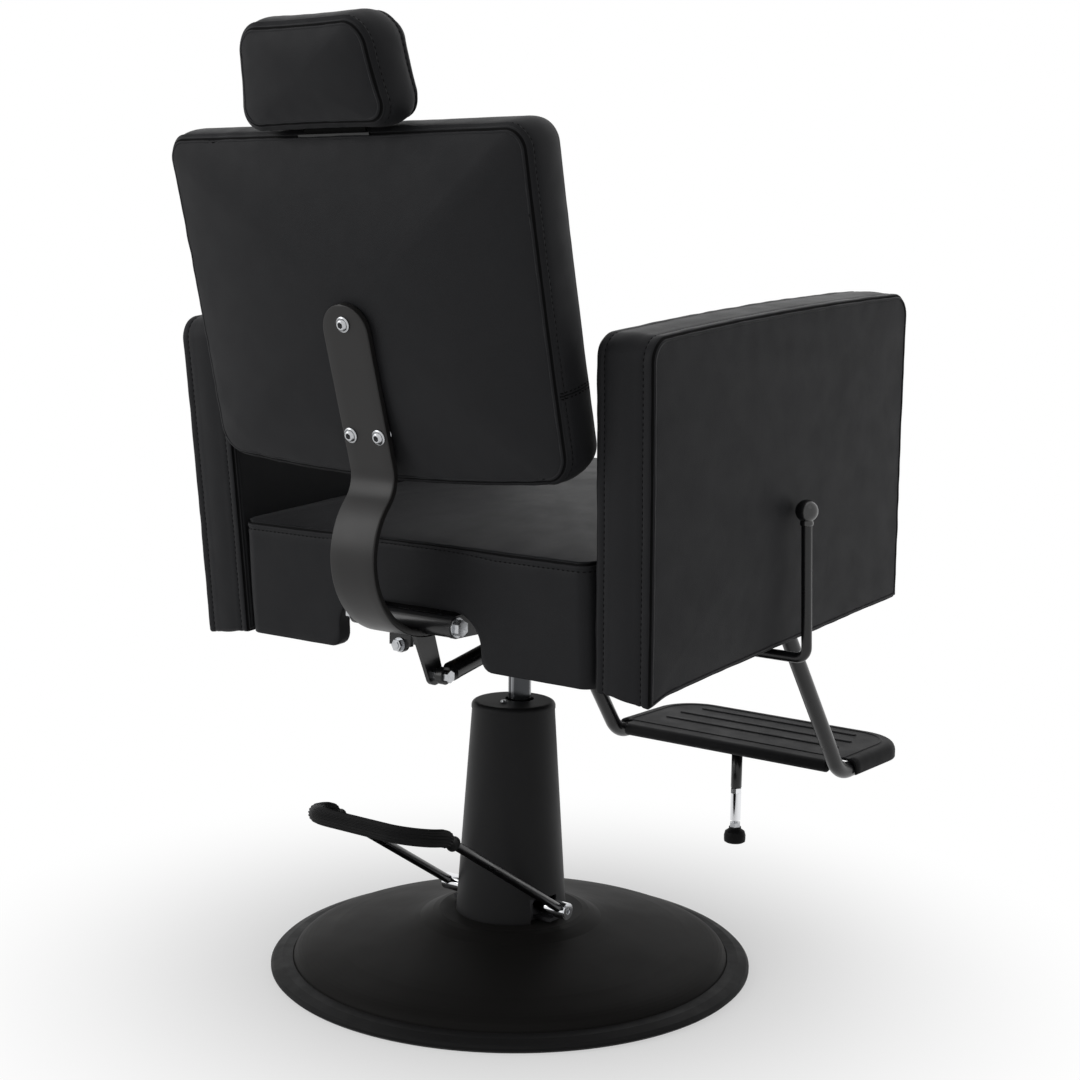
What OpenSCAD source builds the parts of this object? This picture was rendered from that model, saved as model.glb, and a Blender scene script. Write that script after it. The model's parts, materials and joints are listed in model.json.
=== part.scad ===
// Hydraulic barber chair: round spun base, foot pump, swivel seat, reclining back, headrest.
// +Z is up, the front of the chair faces -Y, and the origin is the centre of the base on the floor.

/* [Base and pump] */
// Outer radius of the rubber trim ring
base_r = 300; // [290:1:310]
// Thickness of the steel base plate
plate_h = 9; // [7:1:9]
// Height of the flat top of the spun dome
dome_top_z = 68; // [66:1:70]
// Outer radius of the pump cover at its foot
cover_foot_r = 69; // [68:1:72]
// Outer radius of the pump cover at its cap
cover_cap_r = 51.4; // [51:0.2:54]
// Height of the top of the cap
cap_top_z = 335; // [330:1:340]
// Radius of the chromed ram
ram_r = 14.3; // [13.5:0.1:15]
// Distance of the ram's axis in front of the cover's axis
ram_forward = 12; // [11:0.5:13]

/* [Foot pedal] */
// Half length of the pedal axle
axle_half = 96; // [92:1:98]
// Radius of the pedal axle
axle_r = 10.4; // [9.5:0.1:10.8]
// Height of the pedal axle
axle_z = 86; // [85:0.5:87]
// Distance of the pedal axle behind the cover's axis
axle_y = 11; // [10:0.5:12]
// Half distance between the pedal's two arms
pedal_half = 87; // [82:1:88]
// Radius of the pedal rod
pedal_rod_r = 5.5; // [5:0.1:6]
// Slope of the pedal arms
pedal_slope = 32.4; // [30:0.1:36]

/* [Seat] */
// Backward tilt of the seat
seat_tilt = 4.3; // [3:0.1:5]
// Half width of the seat box
seat_half = 258.6; // [255:0.2:259]
// Distance of the seat's front edge in front of the origin, along the seat
seat_front = 372; // [368:1:376]
// Distance of the seat's rear edge behind the origin, along the seat
seat_rear = 199.4; // [198:0.2:200]
// Height of the lower edge of the seat box
skirt_low = 432; // [430:1:434]
// Height of the seam between the seat box and the cushion
seat_seam = 571; // [568:1:574]
// Rise of the cushion above its seam
seat_crown = 25; // [15:1:30]

/* [Arms] */
// Distance from the middle of the seat to the inner face of an arm at its foot
arm_inner = 259.4; // [259.2:0.1:262]
// Thickness of an arm
arm_thick = 73; // [68:1:76]
// Length of an arm
arm_length = 565; // [555:1:570]
// Height of an arm
arm_height = 386; // [370:1:390]
// Outward lean of the arms
arm_splay = 2; // [1:0.1:2.4]

/* [Back and headrest] */
// Half width of the back at its seam
back_half = 254; // [248:0.5:255]
// Height of the back along its slope
back_height = 371.5; // [360:0.5:372]
// Backward lean of the back
back_tilt = 13.5; // [12:0.1:14]
// Depth of the border round the back
back_depth = 62; // [55:1:64]
// Half width of the headrest at its seam
head_half = 94; // [90:1:96]
// Height of the headrest between its seams
head_height = 104; // [98:1:106]

/* [Carrier bar] */
// Width of the flat carrier bar
bar_w = 64; // [58:1:68]
// Thickness of the flat carrier bar
bar_t = 8; // [6:0.5:8]
// Outer radius of the lower bow of the bar
bow_r = 96; // [94:0.5:97]
// Outer radius of the bend between the bow and the straight part
bend_r = 38; // [34:1:42]

/* [Footrest and levers] */
// Radius of the footrest tube
foot_tube_r = 11; // [10:0.5:11]
// Half distance between the footrest legs
foot_half = 188; // [184:1:190]
// Height of the footrest tube's lower run
foot_z = 170; // [168:1:172]
// Rise of the footrest legs above the horizontal
leg_rise = 54.4; // [53:0.1:56]
// Distance of the recline lever's rod from the middle of the seat
lever_x = 357; // [356:1:360]
// Radius of the recline lever's rod
lever_r = 6.25; // [5.5:0.05:6.5]

/* [Hidden] */

$fn = 64;
fit = 0.05;
gap = 0.3;
steel = "#3a3a3c";
black = "#1c1c1e";
vinyl = "#26262a";
zinc = "#c8ccd0";
chrome = "#d8dadc";
wood = "#c8a878";
rubber = "#151515";

// Tilted frame of the seat, whose pivot line lies over the origin
tilt_z = 430;
module on_seat() translate([0, 0, tilt_z]) rotate([-seat_tilt, 0, 0]) translate([0, 0, -tilt_z])
    children();
// Frame of the back: y points to the rear, z up along the back from the middle of its lower seam
back_y = 240.4;
back_z = 642.4;
module on_back() translate([0, back_y, back_z]) rotate([-back_tilt, 0, 0]) children();
// Frame of the headrest, from the middle of its lower rear seam
head_tilt = 15;
head_y = 354.8;
head_z = 1010;
module on_head() translate([0, head_y, head_z]) rotate([-head_tilt, 0, 0]) children();

// Points of an arc about c, from angle a to angle b
function arc(c, r, a, b, n = 12) = [for (i = [0:n]) c + r * [cos(a + (b - a) * i / n), sin(a + (b - a)
    * i / n)]];
// Points of a cubic curve
function cubic(p, q, r, s, n = 8) = [for (i = [0:n]) let (u = i / n, v = 1 - u)
    v * v * v * p + 3 * v * v * u * q + 3 * v * u * u * r + u * u * u * s];
function reversed(l) = [for (i = [len(l) - 1:-1:0]) l[i]];
// A line of points moved sideways by d, to the left of its direction
function beside(l, d) = [for (i = [0:len(l) - 1])
    let (t = l[min(i + 1, len(l) - 1)] - l[max(i - 1, 0)]) l[i] + d * [-t[1], t[0]] / norm(t)];

// Rounded rectangle: half sizes a and b, radii rr from the +x +y corner round, edges drawn in by d,
// which is one number or one for each side from the +y side round
function corner(a, b, r, q, n) = [for (i = [0:n]) let (w = 90 * (q + i / n))
    [(q == 0 || q == 3 ? 1 : -1) * (a - r) + r * cos(w), (q < 2 ? 1 : -1) * (b - r) + r * sin(w)]];
function edge(p, q, m, d) = let (v = q - p)
    [for (i = [1:1:m]) let (u = i / (m + 1)) p + v * u + [-v[1], v[0]] / norm(v) * d * 4 * u * (1 - u)];
function outline(a, b, rr, d = 0, n = 5, m = 0) = let (c = [for (q = [0:3]) corner(a, b, rr[q], q, n)])
    [for (q = [0:3]) each concat(c[q], edge(c[q][n], c[(q + 1) % 4][0], m, is_list(d) ?
        d[q] : d))];

// Share of a crown's height at scale t of its outline
function crown(t) = pow(1 - pow(t, 2.4), 0.85);
face_steps = [0.3, 0.56, 0.76, 0.91];
// Rings of a cushion as [inset, scale, height]: lower face, lower edge, side, upper edge, upper face
function cushion_rings(th, c0, c1, e0, e1, bulge) = concat(
    [for (t = face_steps) [e0, t, -c0 * crown(t)]],
    [for (i = [0:1:(e0 > 0 ? 3 : 0)]) [e0 * (1 - sin(30 * i)), 1, e0 * (1 - cos(30 * i))]],
    [for (i = [1:3]) [-bulge * sin(45 * i), 1, e0 + (th - e0 - e1) * i / 4]],
    [for (i = [0:1:(e1 > 0 ? 3 : 0)]) [e1 * (1 - cos(30 * i)), 1, th - e1 * (1 - sin(30 * i))]],
    [for (t = reversed(face_steps)) [e1, t, th + c1 * crown(t)]]);
// Cushion of half sizes a and b and thickness th, crowned by c0 below and c1 above, with edges
// rounded by e0 and e1, sides bulged, edges drawn in by d, and narrowed by taper towards +y
module cushion(a, b, rr, th, c0 = 0, c1 = 0, e0 = 0, e1 = 0, bulge = 0, d = 1, taper = 0) {
    rings = cushion_rings(th, c0, c1, e0, e1, bulge);
    loops = [for (s = rings) [for (p = outline(a - s[0], b - s[0], [for (r = rr) max(r - s[0], 1)], d,
        5, 3))
        [p[0] * s[1] * (1 - taper * p[1] * s[1] / b), p[1] * s[1], s[2]]]];
    n = len(loops[0]);
    m = len(loops);
    points = concat([[0, 0, -c0]], [for (l = loops) each l], [[0, 0, th + c1]]);
    faces = concat(
        [for (i = [0:n - 1]) [0, 1 + i, 1 + (i + 1) % n]],
        [for (k = [0:m - 2], i = [0:n - 1]) [1 + k * n + i, 1 + (k + 1) * n + i, 1 + (k + 1) * n + (i +
            1) % n]],
        [for (k = [0:m - 2], i = [0:n - 1]) [1 + k * n + i, 1 + (k + 1) * n + (i + 1) % n, 1 + k * n +
            (i + 1) % n]],
        [for (i = [0:n - 1]) [1 + m * n, 1 + (m - 1) * n + (i + 1) % n, 1 + (m - 1) * n + i]]);
    polyhedron(points, faces);
}

// Quarter of a torus that leads from +z round towards +x
module turn(bend, a, r) translate([bend, 0, 0]) rotate([90, 0, 180]) rotate_extrude(angle = a)
    translate([bend, 0]) circle(r);
// Rod along steps of ["go", length] and ["turn", bend radius, angle, roll]
module rod_path(steps, r, i = 0) {
    if (i < len(steps)) {
        s = steps[i];
        if (s[0] == "go") {
            cylinder(r = r, h = s[1]);
            translate([0, 0, s[1]]) rod_path(steps, r, i + 1);
        } else rotate([0, 0, s[3]]) {
            turn(s[1], s[2], r);
            translate([s[1] * (1 - cos(s[2])), 0, s[1] * sin(s[2])])
                rotate([0, s[2], 0]) rotate([0, 0, -s[3]]) rod_path(steps, r, i + 1);
        }
    }
}
// Frames along the same steps, each [place, x, y, z, radius]; ["radius", r] changes the radius there
function moved(f, d) = [f[0] + d * f[3], f[1], f[2], f[3], f[4]];
function turned(f, s, w) = let (c = cos(s[3]), k = sin(s[3]), d = f[1] * c + f[2] * k, e =
    f[2] * c - f[1] * k,
    q = d * cos(w) - f[3] * sin(w))
    [f[0] + d * s[1] * (1 - cos(w)) + f[3] * s[1] * sin(w), q * c - e * k, q * k + e * c,
        f[3] * cos(w) + d * sin(w), f[4]];
function path_frames(steps, f, i = 0) = i == len(steps) ? [f] : concat([f],
    steps[i][0] == "go" ? path_frames(steps, moved(f, steps[i][1]), i + 1)
    : steps[i][0] == "radius" ? path_frames(steps, [f[0], f[1], f[2], f[3], steps[i][1]], i + 1)
    : let (n = ceil(steps[i][2] / 13)) concat([for (k = [1:1:n - 1]) turned(f, steps[i],
        steps[i][2] * k / n)],
        path_frames(steps, turned(f, steps[i], steps[i][2]), i + 1)));
function ring_at(f, r, n) = [for (j = [0:n - 1]) f[0] + r * (f[1] * cos(360 * j / n)
    + f[2] * sin(360 * j / n))];
// Round tube of one closed skin along steps, with a bore where bore is above 0
module swept(steps, r, sides = 16, bore = 0) {
    frames = path_frames(steps, [[0, 0, 0], [1, 0, 0], [0, 1, 0], [0, 0, 1], r]);
    rings = concat([for (f = frames) ring_at(f, f[4], sides)],
        bore > 0 ? [for (f = reversed(frames)) ring_at(f, bore, sides)] : []);
    m = len(rings);
    last = bore > 0 ? m - 1 : m - 2;
    points = [for (l = rings) each l];
    sides_1 = [for (k = [0:last], i = [0:sides - 1])
        [k * sides + i, (k + 1) % m * sides + i, (k + 1) % m * sides + (i + 1) % sides]];
    sides_2 = [for (k = [0:last], i = [0:sides - 1])
        [k * sides + i, (k + 1) % m * sides + (i + 1) % sides, k * sides + (i + 1) % sides]];
    caps = bore > 0 ? [] : concat([for (i = [1:sides - 2]) [0, i, i + 1]],
        [for (i = [1:sides - 2]) [(m - 1) * sides, (m - 1) * sides + i + 1, (m - 1) * sides + i]]);
    polyhedron(points, concat(sides_1, sides_2, caps));
}
module both() {
    children();
    mirror([1, 0, 0]) children();
}
// Cylinder along x, centred on x = 0 unless moved
module bar_x(r, h) rotate([0, 90, 0]) cylinder(r = r, h = h, center = true);
// Cylinder along +y from the origin
module bar_y(r, h) rotate([-90, 0, 0]) cylinder(r = r, h = h);
// Hexagon bolt with its head below z = 0 and its shank up to z = length
module hex_bolt(r, length) {
    cylinder(r = r, h = length);
    translate([0, 0, -r * 1.3]) cylinder(r = r * 1.9, h = r * 1.3, $fn = 6);
}

// ---- Base ----
plate_r = base_r - 34;
ledge_z = plate_h;
rim_r = base_r - 27.5;
module base_plate() color(steel) difference() {
    cylinder(r = plate_r, h = plate_h, $fn = 96);
    for (a = [45:90:315]) rotate([0, 0, a]) translate([flange_bolt_r, 0, 2]) cylinder(r = 5 + fit, h =
        plate_h);
}
module trim_ring() color(rubber) rotate_extrude($fn = 96) polygon([
    [plate_r + gap, 0], [base_r - 3, 0], [base_r, 3], [base_r, 6], [base_r - 3, 9], [base_r - 14, 12.5],
    [rim_r + 0.4, 13.5], [rim_r + 0.4, ledge_z], [plate_r + gap, ledge_z]]);
dome_hole_r = 58;
dome_wall = 2;
dome_line = concat(
    cubic([rim_r, 11.5], [rim_r - 2, 23], [rim_r - 12, 26], [rim_r - 42, 33.5]),
    cubic([rim_r - 50, 35.6], [186, 44], [142, 50], [114, 58.5]),
    [[106, 62.5], [98, 66], [90, dome_top_z], [dome_hole_r, dome_top_z]]);
module base_dome() color(black) rotate_extrude($fn = 96)
    polygon(concat(dome_line, reversed(beside(dome_line, dome_wall)), [[rim_r - 2, ledge_z + 0.1],
        [rim_r, ledge_z + 0.1]]));

// ---- Foot pump ----
flange_r = 84;
flange_top = 21;
flange_bolt_r = 68;
block_r = 54;
block_top = 108;
barrel_r = 22;
barrel_bore = 18;
barrel_foot = 104;
gallery_z = 37;
strap_half = 76;
cam_y = 27;
plunger_y = axle_y + cam_y;
well_z = 50;
module ram_axis() translate([0, -ram_forward, 0]) children();
module pump_block() color(steel) difference() {
    union() {
        translate([0, 0, plate_h + 0.05]) cylinder(r = flange_r, h = flange_top - plate_h);
        translate([0, 0, flange_top]) cylinder(r = block_r, h = block_top - flange_top);
        translate([-strap_half, axle_y - 9, axle_z - 16]) cube([2 * strap_half, 18, 4.5]);
    }
    for (a = [45:90:315]) rotate([0, 0, a]) translate([flange_bolt_r, 0, 0]) cylinder(r = 5 + fit, h = 40);
    translate([0, axle_y, axle_z]) bar_x(axle_r + fit, 3 * block_r);
    translate([-11, 15, well_z]) cube([22, 60, 99.9 - well_z]);
    translate([-11, -4, axle_z - 15]) cube([22, 30, 99.9 - axle_z + 15]);
    translate([0, plunger_y, 30]) cylinder(r = 5 + fit, h = 40);
    ram_axis() translate([0, 0, barrel_foot]) cylinder(r = barrel_r + fit, h = 40);
    ram_axis() translate([0, 0, gallery_z]) cylinder(r = 3, h = 80);
    ram_axis() translate([0, 0, gallery_z]) bar_y(3, plunger_y + ram_forward);
}
module pump_bolts() color(zinc) for (a = [45:90:315]) rotate([0, 0, a]) translate([flange_bolt_r, 0,
    flange_top + 0.1])
    mirror([0, 0, 1]) hex_bolt(5, 18.5);
tank_y = -6;
tank_r = 42;
tank_top = 300;
module reservoir_tube() color(steel) translate([0, tank_y, block_top + 0.05]) difference() {
    cylinder(r = tank_r, h = tank_top - block_top);
    translate([0, 0, -1]) cylinder(r = tank_r - 3, h = tank_top);
}
module pump_barrel() color(zinc) ram_axis() translate([0, 0, barrel_foot + 0.05]) difference() {
    cylinder(r = barrel_r, h = 292 - barrel_foot);
    translate([0, 0, -1]) cylinder(r = barrel_bore, h = 300);
}
gland_top = 322;
screw_x = 3;
screw_y = 16;
module gland_nut() color(steel) difference() {
    union() {
        translate([0, tank_y, tank_top + 0.1]) cylinder(r = tank_r, h = gland_top - tank_top - 0.1);
        translate([0, tank_y, 293]) cylinder(r = tank_r - 3.2, h = 10);
    }
    ram_axis() cylinder(r = ram_r + fit, h = 400);
    translate([screw_x, screw_y, 312]) cylinder(r = 2 + fit, h = 20);
}
module wiper_seal() color(rubber) ram_axis() translate([0, 0, gland_top + 0.05]) difference() {
    cylinder(r = 21, h = 3.5);
    translate([0, 0, -1]) cylinder(r = ram_r + fit, h = 10);
}
cap_z = 326.5;
cover_wall = 2.5;
slot_front = 5;
slot_rear = 14.5;
module pump_cover() color(black) difference() {
    rotate_extrude($fn = 96) polygon([[cover_foot_r - cover_wall, dome_top_z + 0.1], [cover_foot_r,
        dome_top_z + 0.1],
        [cover_cap_r, cap_z - 0.1], [cover_cap_r - cover_wall, cap_z - 0.1]]);
    translate([-2 * cover_foot_r, axle_y - axle_r - slot_front, dome_top_z - 1])
        cube([4 * cover_foot_r, 2 * axle_r + slot_front + slot_rear, axle_z + axle_r + 3 - dome_top_z]);
}
cap_round = 6;
module cover_cap() color(black) difference() {
    rotate_extrude($fn = 96) polygon(concat([[0, cap_z], [cover_cap_r + 0.8, cap_z]],
        arc([cover_cap_r + 0.8 - cap_round, cap_top_z - cap_round], cap_round, 0, 90, 8), [[0,
            cap_top_z]]));
    ram_axis() cylinder(r = 18, h = 400);
    translate([screw_x, screw_y, 300]) cylinder(r = 2 + fit, h = 60);
}
module cap_screw() color(zinc) translate([screw_x, screw_y, 0]) difference() {
    union() {
        translate([0, 0, 313]) cylinder(r = 2, h = cap_top_z - 312);
        translate([0, 0, cap_top_z + 0.05]) cylinder(r1 = 4, r2 = 3, h = 2.2);
    }
    for (a = [45, 135]) translate([0, 0, cap_top_z + 2.5]) rotate([0, 0, a]) cube([4.4, 1, 3], center =
        true);
}

// ---- Pedal ----
module on_axle() translate([0, axle_y, axle_z]) children();
module pedal_start() on_axle() translate([pedal_half, 0, 0]) rotate([pedal_slope - 90, 0, 0]) children();
pedal_arm = 264;
rod_in_axle = 6;
pedal_bend = 44;
// Steps of the pedal loop between its two straight arms
loop_steps = [["turn", 30, 21, 90], ["turn", pedal_bend, 90, 180], ["go", 2 * (pedal_half - pedal_bend)],
    ["turn", pedal_bend, 90, 180], ["turn", 30, 21, 90]];
module pedal_axle() color(chrome) difference() {
    on_axle() union() {
        bar_x(axle_r, 2 * axle_half);
        bar_x(axle_r - 1.5, 2 * axle_half + 1.6);
    }
    both() pedal_start() translate([0, 0, -7]) cylinder(r = pedal_rod_r + fit, h = 30);
    both() on_axle() translate([axle_half - 9, 0, 0]) rotate([0, 90, 0]) cylinder(r = 4 + fit, h = 20);
}
cam_rest = 10;
cam_tip_r = 7;
module pump_cam() color(steel) on_axle() rotate([90, 0, 90]) linear_extrude(18, center = true)
    difference() {
    union() {
        circle(13.5);
        rotate(cam_rest) translate([0, 2.2 - cam_tip_r]) square([cam_y, 2 * cam_tip_r - 4.4]);
        rotate(cam_rest) translate([cam_y, 0]) circle(cam_tip_r);
    }
    circle(axle_r + fit);
}
module pedal_bar() color(black) pedal_start() translate([0, 0, -rod_in_axle])
    swept(concat([["go", pedal_arm + rod_in_axle]], loop_steps, [["go", pedal_arm + rod_in_axle]]),
        pedal_rod_r);
grip_start = 262;
cuff_length = 14;
cuff_r = 8.3;
grip_r = 10;
module pedal_grip() color(rubber) pedal_start() translate([0, 0, grip_start - cuff_length])
    swept(concat([["go", cuff_length], ["radius", grip_r], ["go", pedal_arm - grip_start]], loop_steps,
        [["go", pedal_arm - grip_start], ["radius", cuff_r], ["go", cuff_length]]), cuff_r, bore =
            pedal_rod_r + fit);
module grub_screws() color(zinc) both() on_axle() translate([axle_half - 3, 0, 0]) rotate([0, 90, 0])
    difference() {
    cylinder(r = 4, h = 3.2);
    translate([0, 0, 1]) cylinder(r = 2.6, h = 9, $fn = 6);
}
cam_tip_z = axle_z + cam_y * sin(cam_rest);
plunger_top = cam_tip_z - cam_tip_r - gap;
module plunger() color(zinc) translate([0, plunger_y, 0]) union() {
    translate([0, 0, 40.5]) cylinder(r = 5, h = plunger_top - 40.5);
    translate([0, 0, plunger_top - 4]) cylinder(r = 9.8, h = 4);
}
// Coil spring: a round wire wound about z, from height a to height b
module coil(a, b, coil_r, wire_r, turns, sides = 6, steps = 14) {
    n = turns * steps;
    ring = [for (i = [0:n]) let (w = 360 * i / steps, z = a + (b - a) * i / n) [for (j = [0:sides - 1])
        let (q = coil_r + wire_r * cos(360 * j / sides)) [q * cos(w), q * sin(w), z +
            wire_r * sin(360 * j / sides)]]];
    polyhedron([for (r = ring) each r], concat(
        [[for (j = [0:sides - 1]) j]],
        [for (i = [0:n - 1], j = [0:sides - 1]) let (k = (j + 1) % sides)
            [i * sides + j, (i + 1) * sides + j, (i + 1) * sides + k, i * sides + k]],
        [[for (j = [sides - 1:-1:0]) n * sides + j]]));
}
module plunger_spring() color(zinc) translate([0, plunger_y, 0])
    coil(well_z + 1.5, plunger_top - 5.6, 7.5, 1.1, 5);

// ---- Ram ----
ram_foot = 130;
ram_top = 428;
hub_low = 378;
module ram() color(chrome) ram_axis() union() {
    translate([0, 0, ram_foot]) cylinder(r = ram_r, h = ram_top - ram_foot);
    translate([0, 0, ram_foot]) cylinder(r = barrel_bore - fit, h = 18);
}
module thrust_bearing() color(zinc) ram_axis() translate([0, 0, ram_top + 0.05]) cylinder(r = ram_r,
    h = 8);

// ---- Seat frame ----
plate_low = 472;
rail_low = 480;
board_low = 530;
board_top = 552;
rail_x = 75;
rail_front = -230;
rail_rear = 150;
hub_roof = ram_top + 8.1 + gap;
module swivel_plate() color(black) difference() {
    union() {
        on_seat() translate([-100, -130, plate_low]) cube([200, 230, rail_low - plate_low]);
        ram_axis() translate([0, 0, hub_low]) cylinder(r = 26, h = plate_low - hub_low + 4);
    }
    ram_axis() translate([0, 0, hub_low - 1]) cylinder(r = 18, h = hub_roof - hub_low + 1);
}
module hub_bush() color("#b8903c") ram_axis() translate([0, 0, hub_low + 1]) difference() {
    cylinder(r = 18 - fit, h = 46);
    translate([0, 0, -1]) cylinder(r = ram_r + fit, h = 60);
}
seat_bolt_spots = [[rail_x, -200], [rail_x, 30]];
clamp_y = [-195, -120];
clamp_half = 22;
clamp_screw_spots = [for (y = clamp_y, d = [-18.2, 18.2]) [foot_half + d, y]];
module seat_rails() color(black) on_seat() both() difference() {
    translate([rail_x - 20, rail_front, rail_low]) cube([40, rail_rear - rail_front,
        board_low - rail_low]);
    translate([rail_x - 16, rail_front - 1, rail_low - 1]) cube([32, rail_rear - rail_front + 2,
        board_low - rail_low - 3]);
    for (p = seat_bolt_spots) translate([p[0], p[1], 500]) cylinder(r = 4 + fit, h = 60);
}
// Recline pivot, in the tilted seat frame and in the upright frame
pivot_y = 204.9;
pivot_z = 465;
function seat_to_world(y, z) = [y * cos(seat_tilt) + (z - tilt_z) * sin(seat_tilt),
    tilt_z + (z - tilt_z) * cos(seat_tilt) - y * sin(seat_tilt)];
function world_to_seat(y, z) = [y * cos(seat_tilt) - (z - tilt_z) * sin(seat_tilt),
    tilt_z + (z - tilt_z) * cos(seat_tilt) + y * sin(seat_tilt)];
pivot_seat = world_to_seat(pivot_y, pivot_z);
ear_x = 70.5;
ear_t = 5;
ear_r = 13;
module recline_ears() color(black) on_seat() difference() {
    union() {
        both() translate([ear_x, 0, 0]) rotate([90, 0, 90]) linear_extrude(ear_t) union() {
            polygon([[40, 484], [40, board_low - 4.1], [132, board_low - 4.1], [172, pivot_seat[1] +
                ear_r],
                [pivot_seat[0], pivot_seat[1] + ear_r], [pivot_seat[0], pivot_seat[1] - ear_r], [165,
                    464], [100, 484]]);
            translate(pivot_seat) circle(ear_r);
        }
        translate([0, 173.5, 0]) rotate([90, 0, 0]) linear_extrude(6) polygon([
            [-ear_x - 0.1, 493], [-ear_x - 0.1, 476], [-12, 476], [-8, 442], [18, 442], [22, 476],
            [ear_x + 0.1, 476], [ear_x + 0.1, 493]]);
    }
    translate([0, pivot_seat[0], pivot_seat[1]]) bar_x(6 + fit, 300);
}
board_half = seat_half - 18.4;
module seat_board() color(wood) on_seat() difference() {
    translate([-board_half, -seat_front + 18.4, board_low]) cube([2 * board_half, seat_front +
        seat_rear - 36.8, board_top - board_low]);
    both() for (p = seat_bolt_spots) translate([p[0], p[1], board_low - 1]) cylinder(r = 4 + fit, h = 15);
    both() for (p = clamp_screw_spots) translate([p[0], p[1], board_low - 1]) cylinder(r = 2 + fit, h =
        15);
}
cushion_mid = (seat_rear - seat_front) / 2;
cushion_half_y = (seat_rear + seat_front) / 2;
module seat_cushion() color(vinyl) on_seat() translate([0, cushion_mid, board_top + gap])
    cushion(seat_half + 2.4, cushion_half_y, [18, 18, 22, 22], seat_seam - board_top - gap, c1 =
        seat_crown, bulge = 0.8);
skirt_t = 18;
skirt_h = board_top - skirt_low;
module skirt_plan(y0, y1, rr) translate([0, (y0 + y1) / 2]) polygon(outline(seat_half, (y1 - y0) / 2, rr));
module skirt_front() color(vinyl) on_seat() translate([0, 0, skirt_low]) linear_extrude(skirt_h)
    skirt_plan(-seat_front, -seat_front + skirt_t, [0.5, 0.5, 17, 17]);
arm_bolt_spots = [[-250, 500], [-90, 500], [110, 500]];
module skirt_side() difference() {
    translate([seat_half - skirt_t, -seat_front + skirt_t + 0.1, skirt_low])
        cube([skirt_t, seat_front + seat_rear - 2 * skirt_t - 0.2, skirt_h]);
    for (p = arm_bolt_spots) translate([seat_half, p[0], p[1]]) bar_x(4 + fit, 60);
}
module skirt_left() color(vinyl) on_seat() skirt_side();
module skirt_right() color(vinyl) on_seat() mirror([1, 0, 0]) skirt_side();
notch_half = 107;
notch_top = 497;
notch_r = 40;
flare_r = 14;
notch_line = concat([[notch_half + flare_r, skirt_low - 1]],
    arc([notch_half + flare_r, skirt_low + flare_r], flare_r, 270, 180, 5),
    arc([notch_half - notch_r, notch_top - notch_r], notch_r, 0, 90, 8));
module skirt_rear() color(vinyl) on_seat() difference() {
    translate([0, 0, skirt_low]) linear_extrude(skirt_h) skirt_plan(seat_rear - skirt_t, seat_rear,
        [14, 14, 0.5, 0.5]);
    translate([0, seat_rear + 20, 0]) rotate([90, 0, 0]) linear_extrude(60)
        polygon(concat(notch_line, [for (p = reversed(notch_line)) [-p[0], p[1]]]));
}

// ---- Arms ----
arm_mid_y = -84.1;
arm_foot_z = 431.1;
board_t = 12;
module arm_place() on_seat() translate([arm_inner, arm_mid_y, arm_foot_z]) rotate([0, arm_splay, 0])
    translate([0, 0, arm_height / 2]) rotate([90, 0, 90]) children();
module arm_pad() arm_place() translate([0, 0, board_t + 0.1])
    cushion(arm_length / 2, arm_height / 2, [26, 28, 4, 4], arm_thick - board_t - 0.1, c1 = 3, e1 = 2.5,
        bulge = 1.2, d = [-4, 1, 1, 1]);
module arm_left() color(vinyl) arm_pad();
module arm_right() color(vinyl) mirror([1, 0, 0]) arm_pad();
module arm_boards() color(wood) both() difference() {
    arm_place() linear_extrude(board_t) polygon(outline(arm_length / 2 - 3, arm_height / 2 - 3, [24,
        26, 3, 3]));
    on_seat() for (p = arm_bolt_spots) translate([arm_inner, p[0], p[1]]) bar_x(4 + fit, 40);
}
module seat_bolts() color(zinc) on_seat() both() {
    for (p = seat_bolt_spots) translate([p[0], p[1], board_low - 4.2]) hex_bolt(4, 16);
    for (p = clamp_screw_spots) translate([p[0], p[1], board_low - 3.2]) hex_bolt(2, 15);
    for (p = arm_bolt_spots) translate([seat_half - skirt_t - 0.1, p[0], p[1]]) rotate([0, 90, 0])
        hex_bolt(4, 29);
}

// ---- Footrest ----
foot_front = -688.6;
foot_corner = 60;
foot_bend = 48;
leg_foot_y = -503.6;
run_z = board_low - foot_tube_r - 0.3;
leg_length = (run_z - tilt_z - (foot_z - tilt_z) * cos(seat_tilt) - leg_foot_y * sin(seat_tilt))
    / (sin(leg_rise) * cos(seat_tilt) + cos(leg_rise) * sin(seat_tilt));
low_tangent = foot_bend * tan(leg_rise / 2);
top_turn = leg_rise + seat_tilt;
top_tangent = foot_bend * tan(top_turn / 2);
foot_run = 150;
foot_half_steps = [["go", foot_run], ["turn", foot_bend, top_turn, 270],
    ["go", leg_length - low_tangent - top_tangent], ["turn", foot_bend, leg_rise, 90],
    ["go", leg_foot_y - low_tangent - foot_front - foot_corner], ["turn", foot_corner, 90, 180]];
foot_steps = concat(foot_half_steps, [["go", 2 * (foot_half - foot_corner)]], reversed(foot_half_steps));
top_corner = world_to_seat(leg_foot_y + leg_length * cos(leg_rise), foot_z + leg_length * sin(leg_rise));
post_y = -542;
post_r = 8;
post_low = 108;
module footrest_frame() color(black) difference() {
    union() {
        on_seat() translate([foot_half, top_corner[0] + top_tangent + foot_run, run_z]) rotate([90, 0, 0])
            swept(foot_steps, foot_tube_r, sides = 20);
        translate([0, post_y, foot_z]) bar_x(7, 2 * foot_half);
        translate([0, post_y, post_low]) cylinder(r = post_r, h = foot_z - post_low);
    }
    translate([0, post_y, post_low - 1]) cylinder(r = 4 + fit, h = 36);
}
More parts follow.
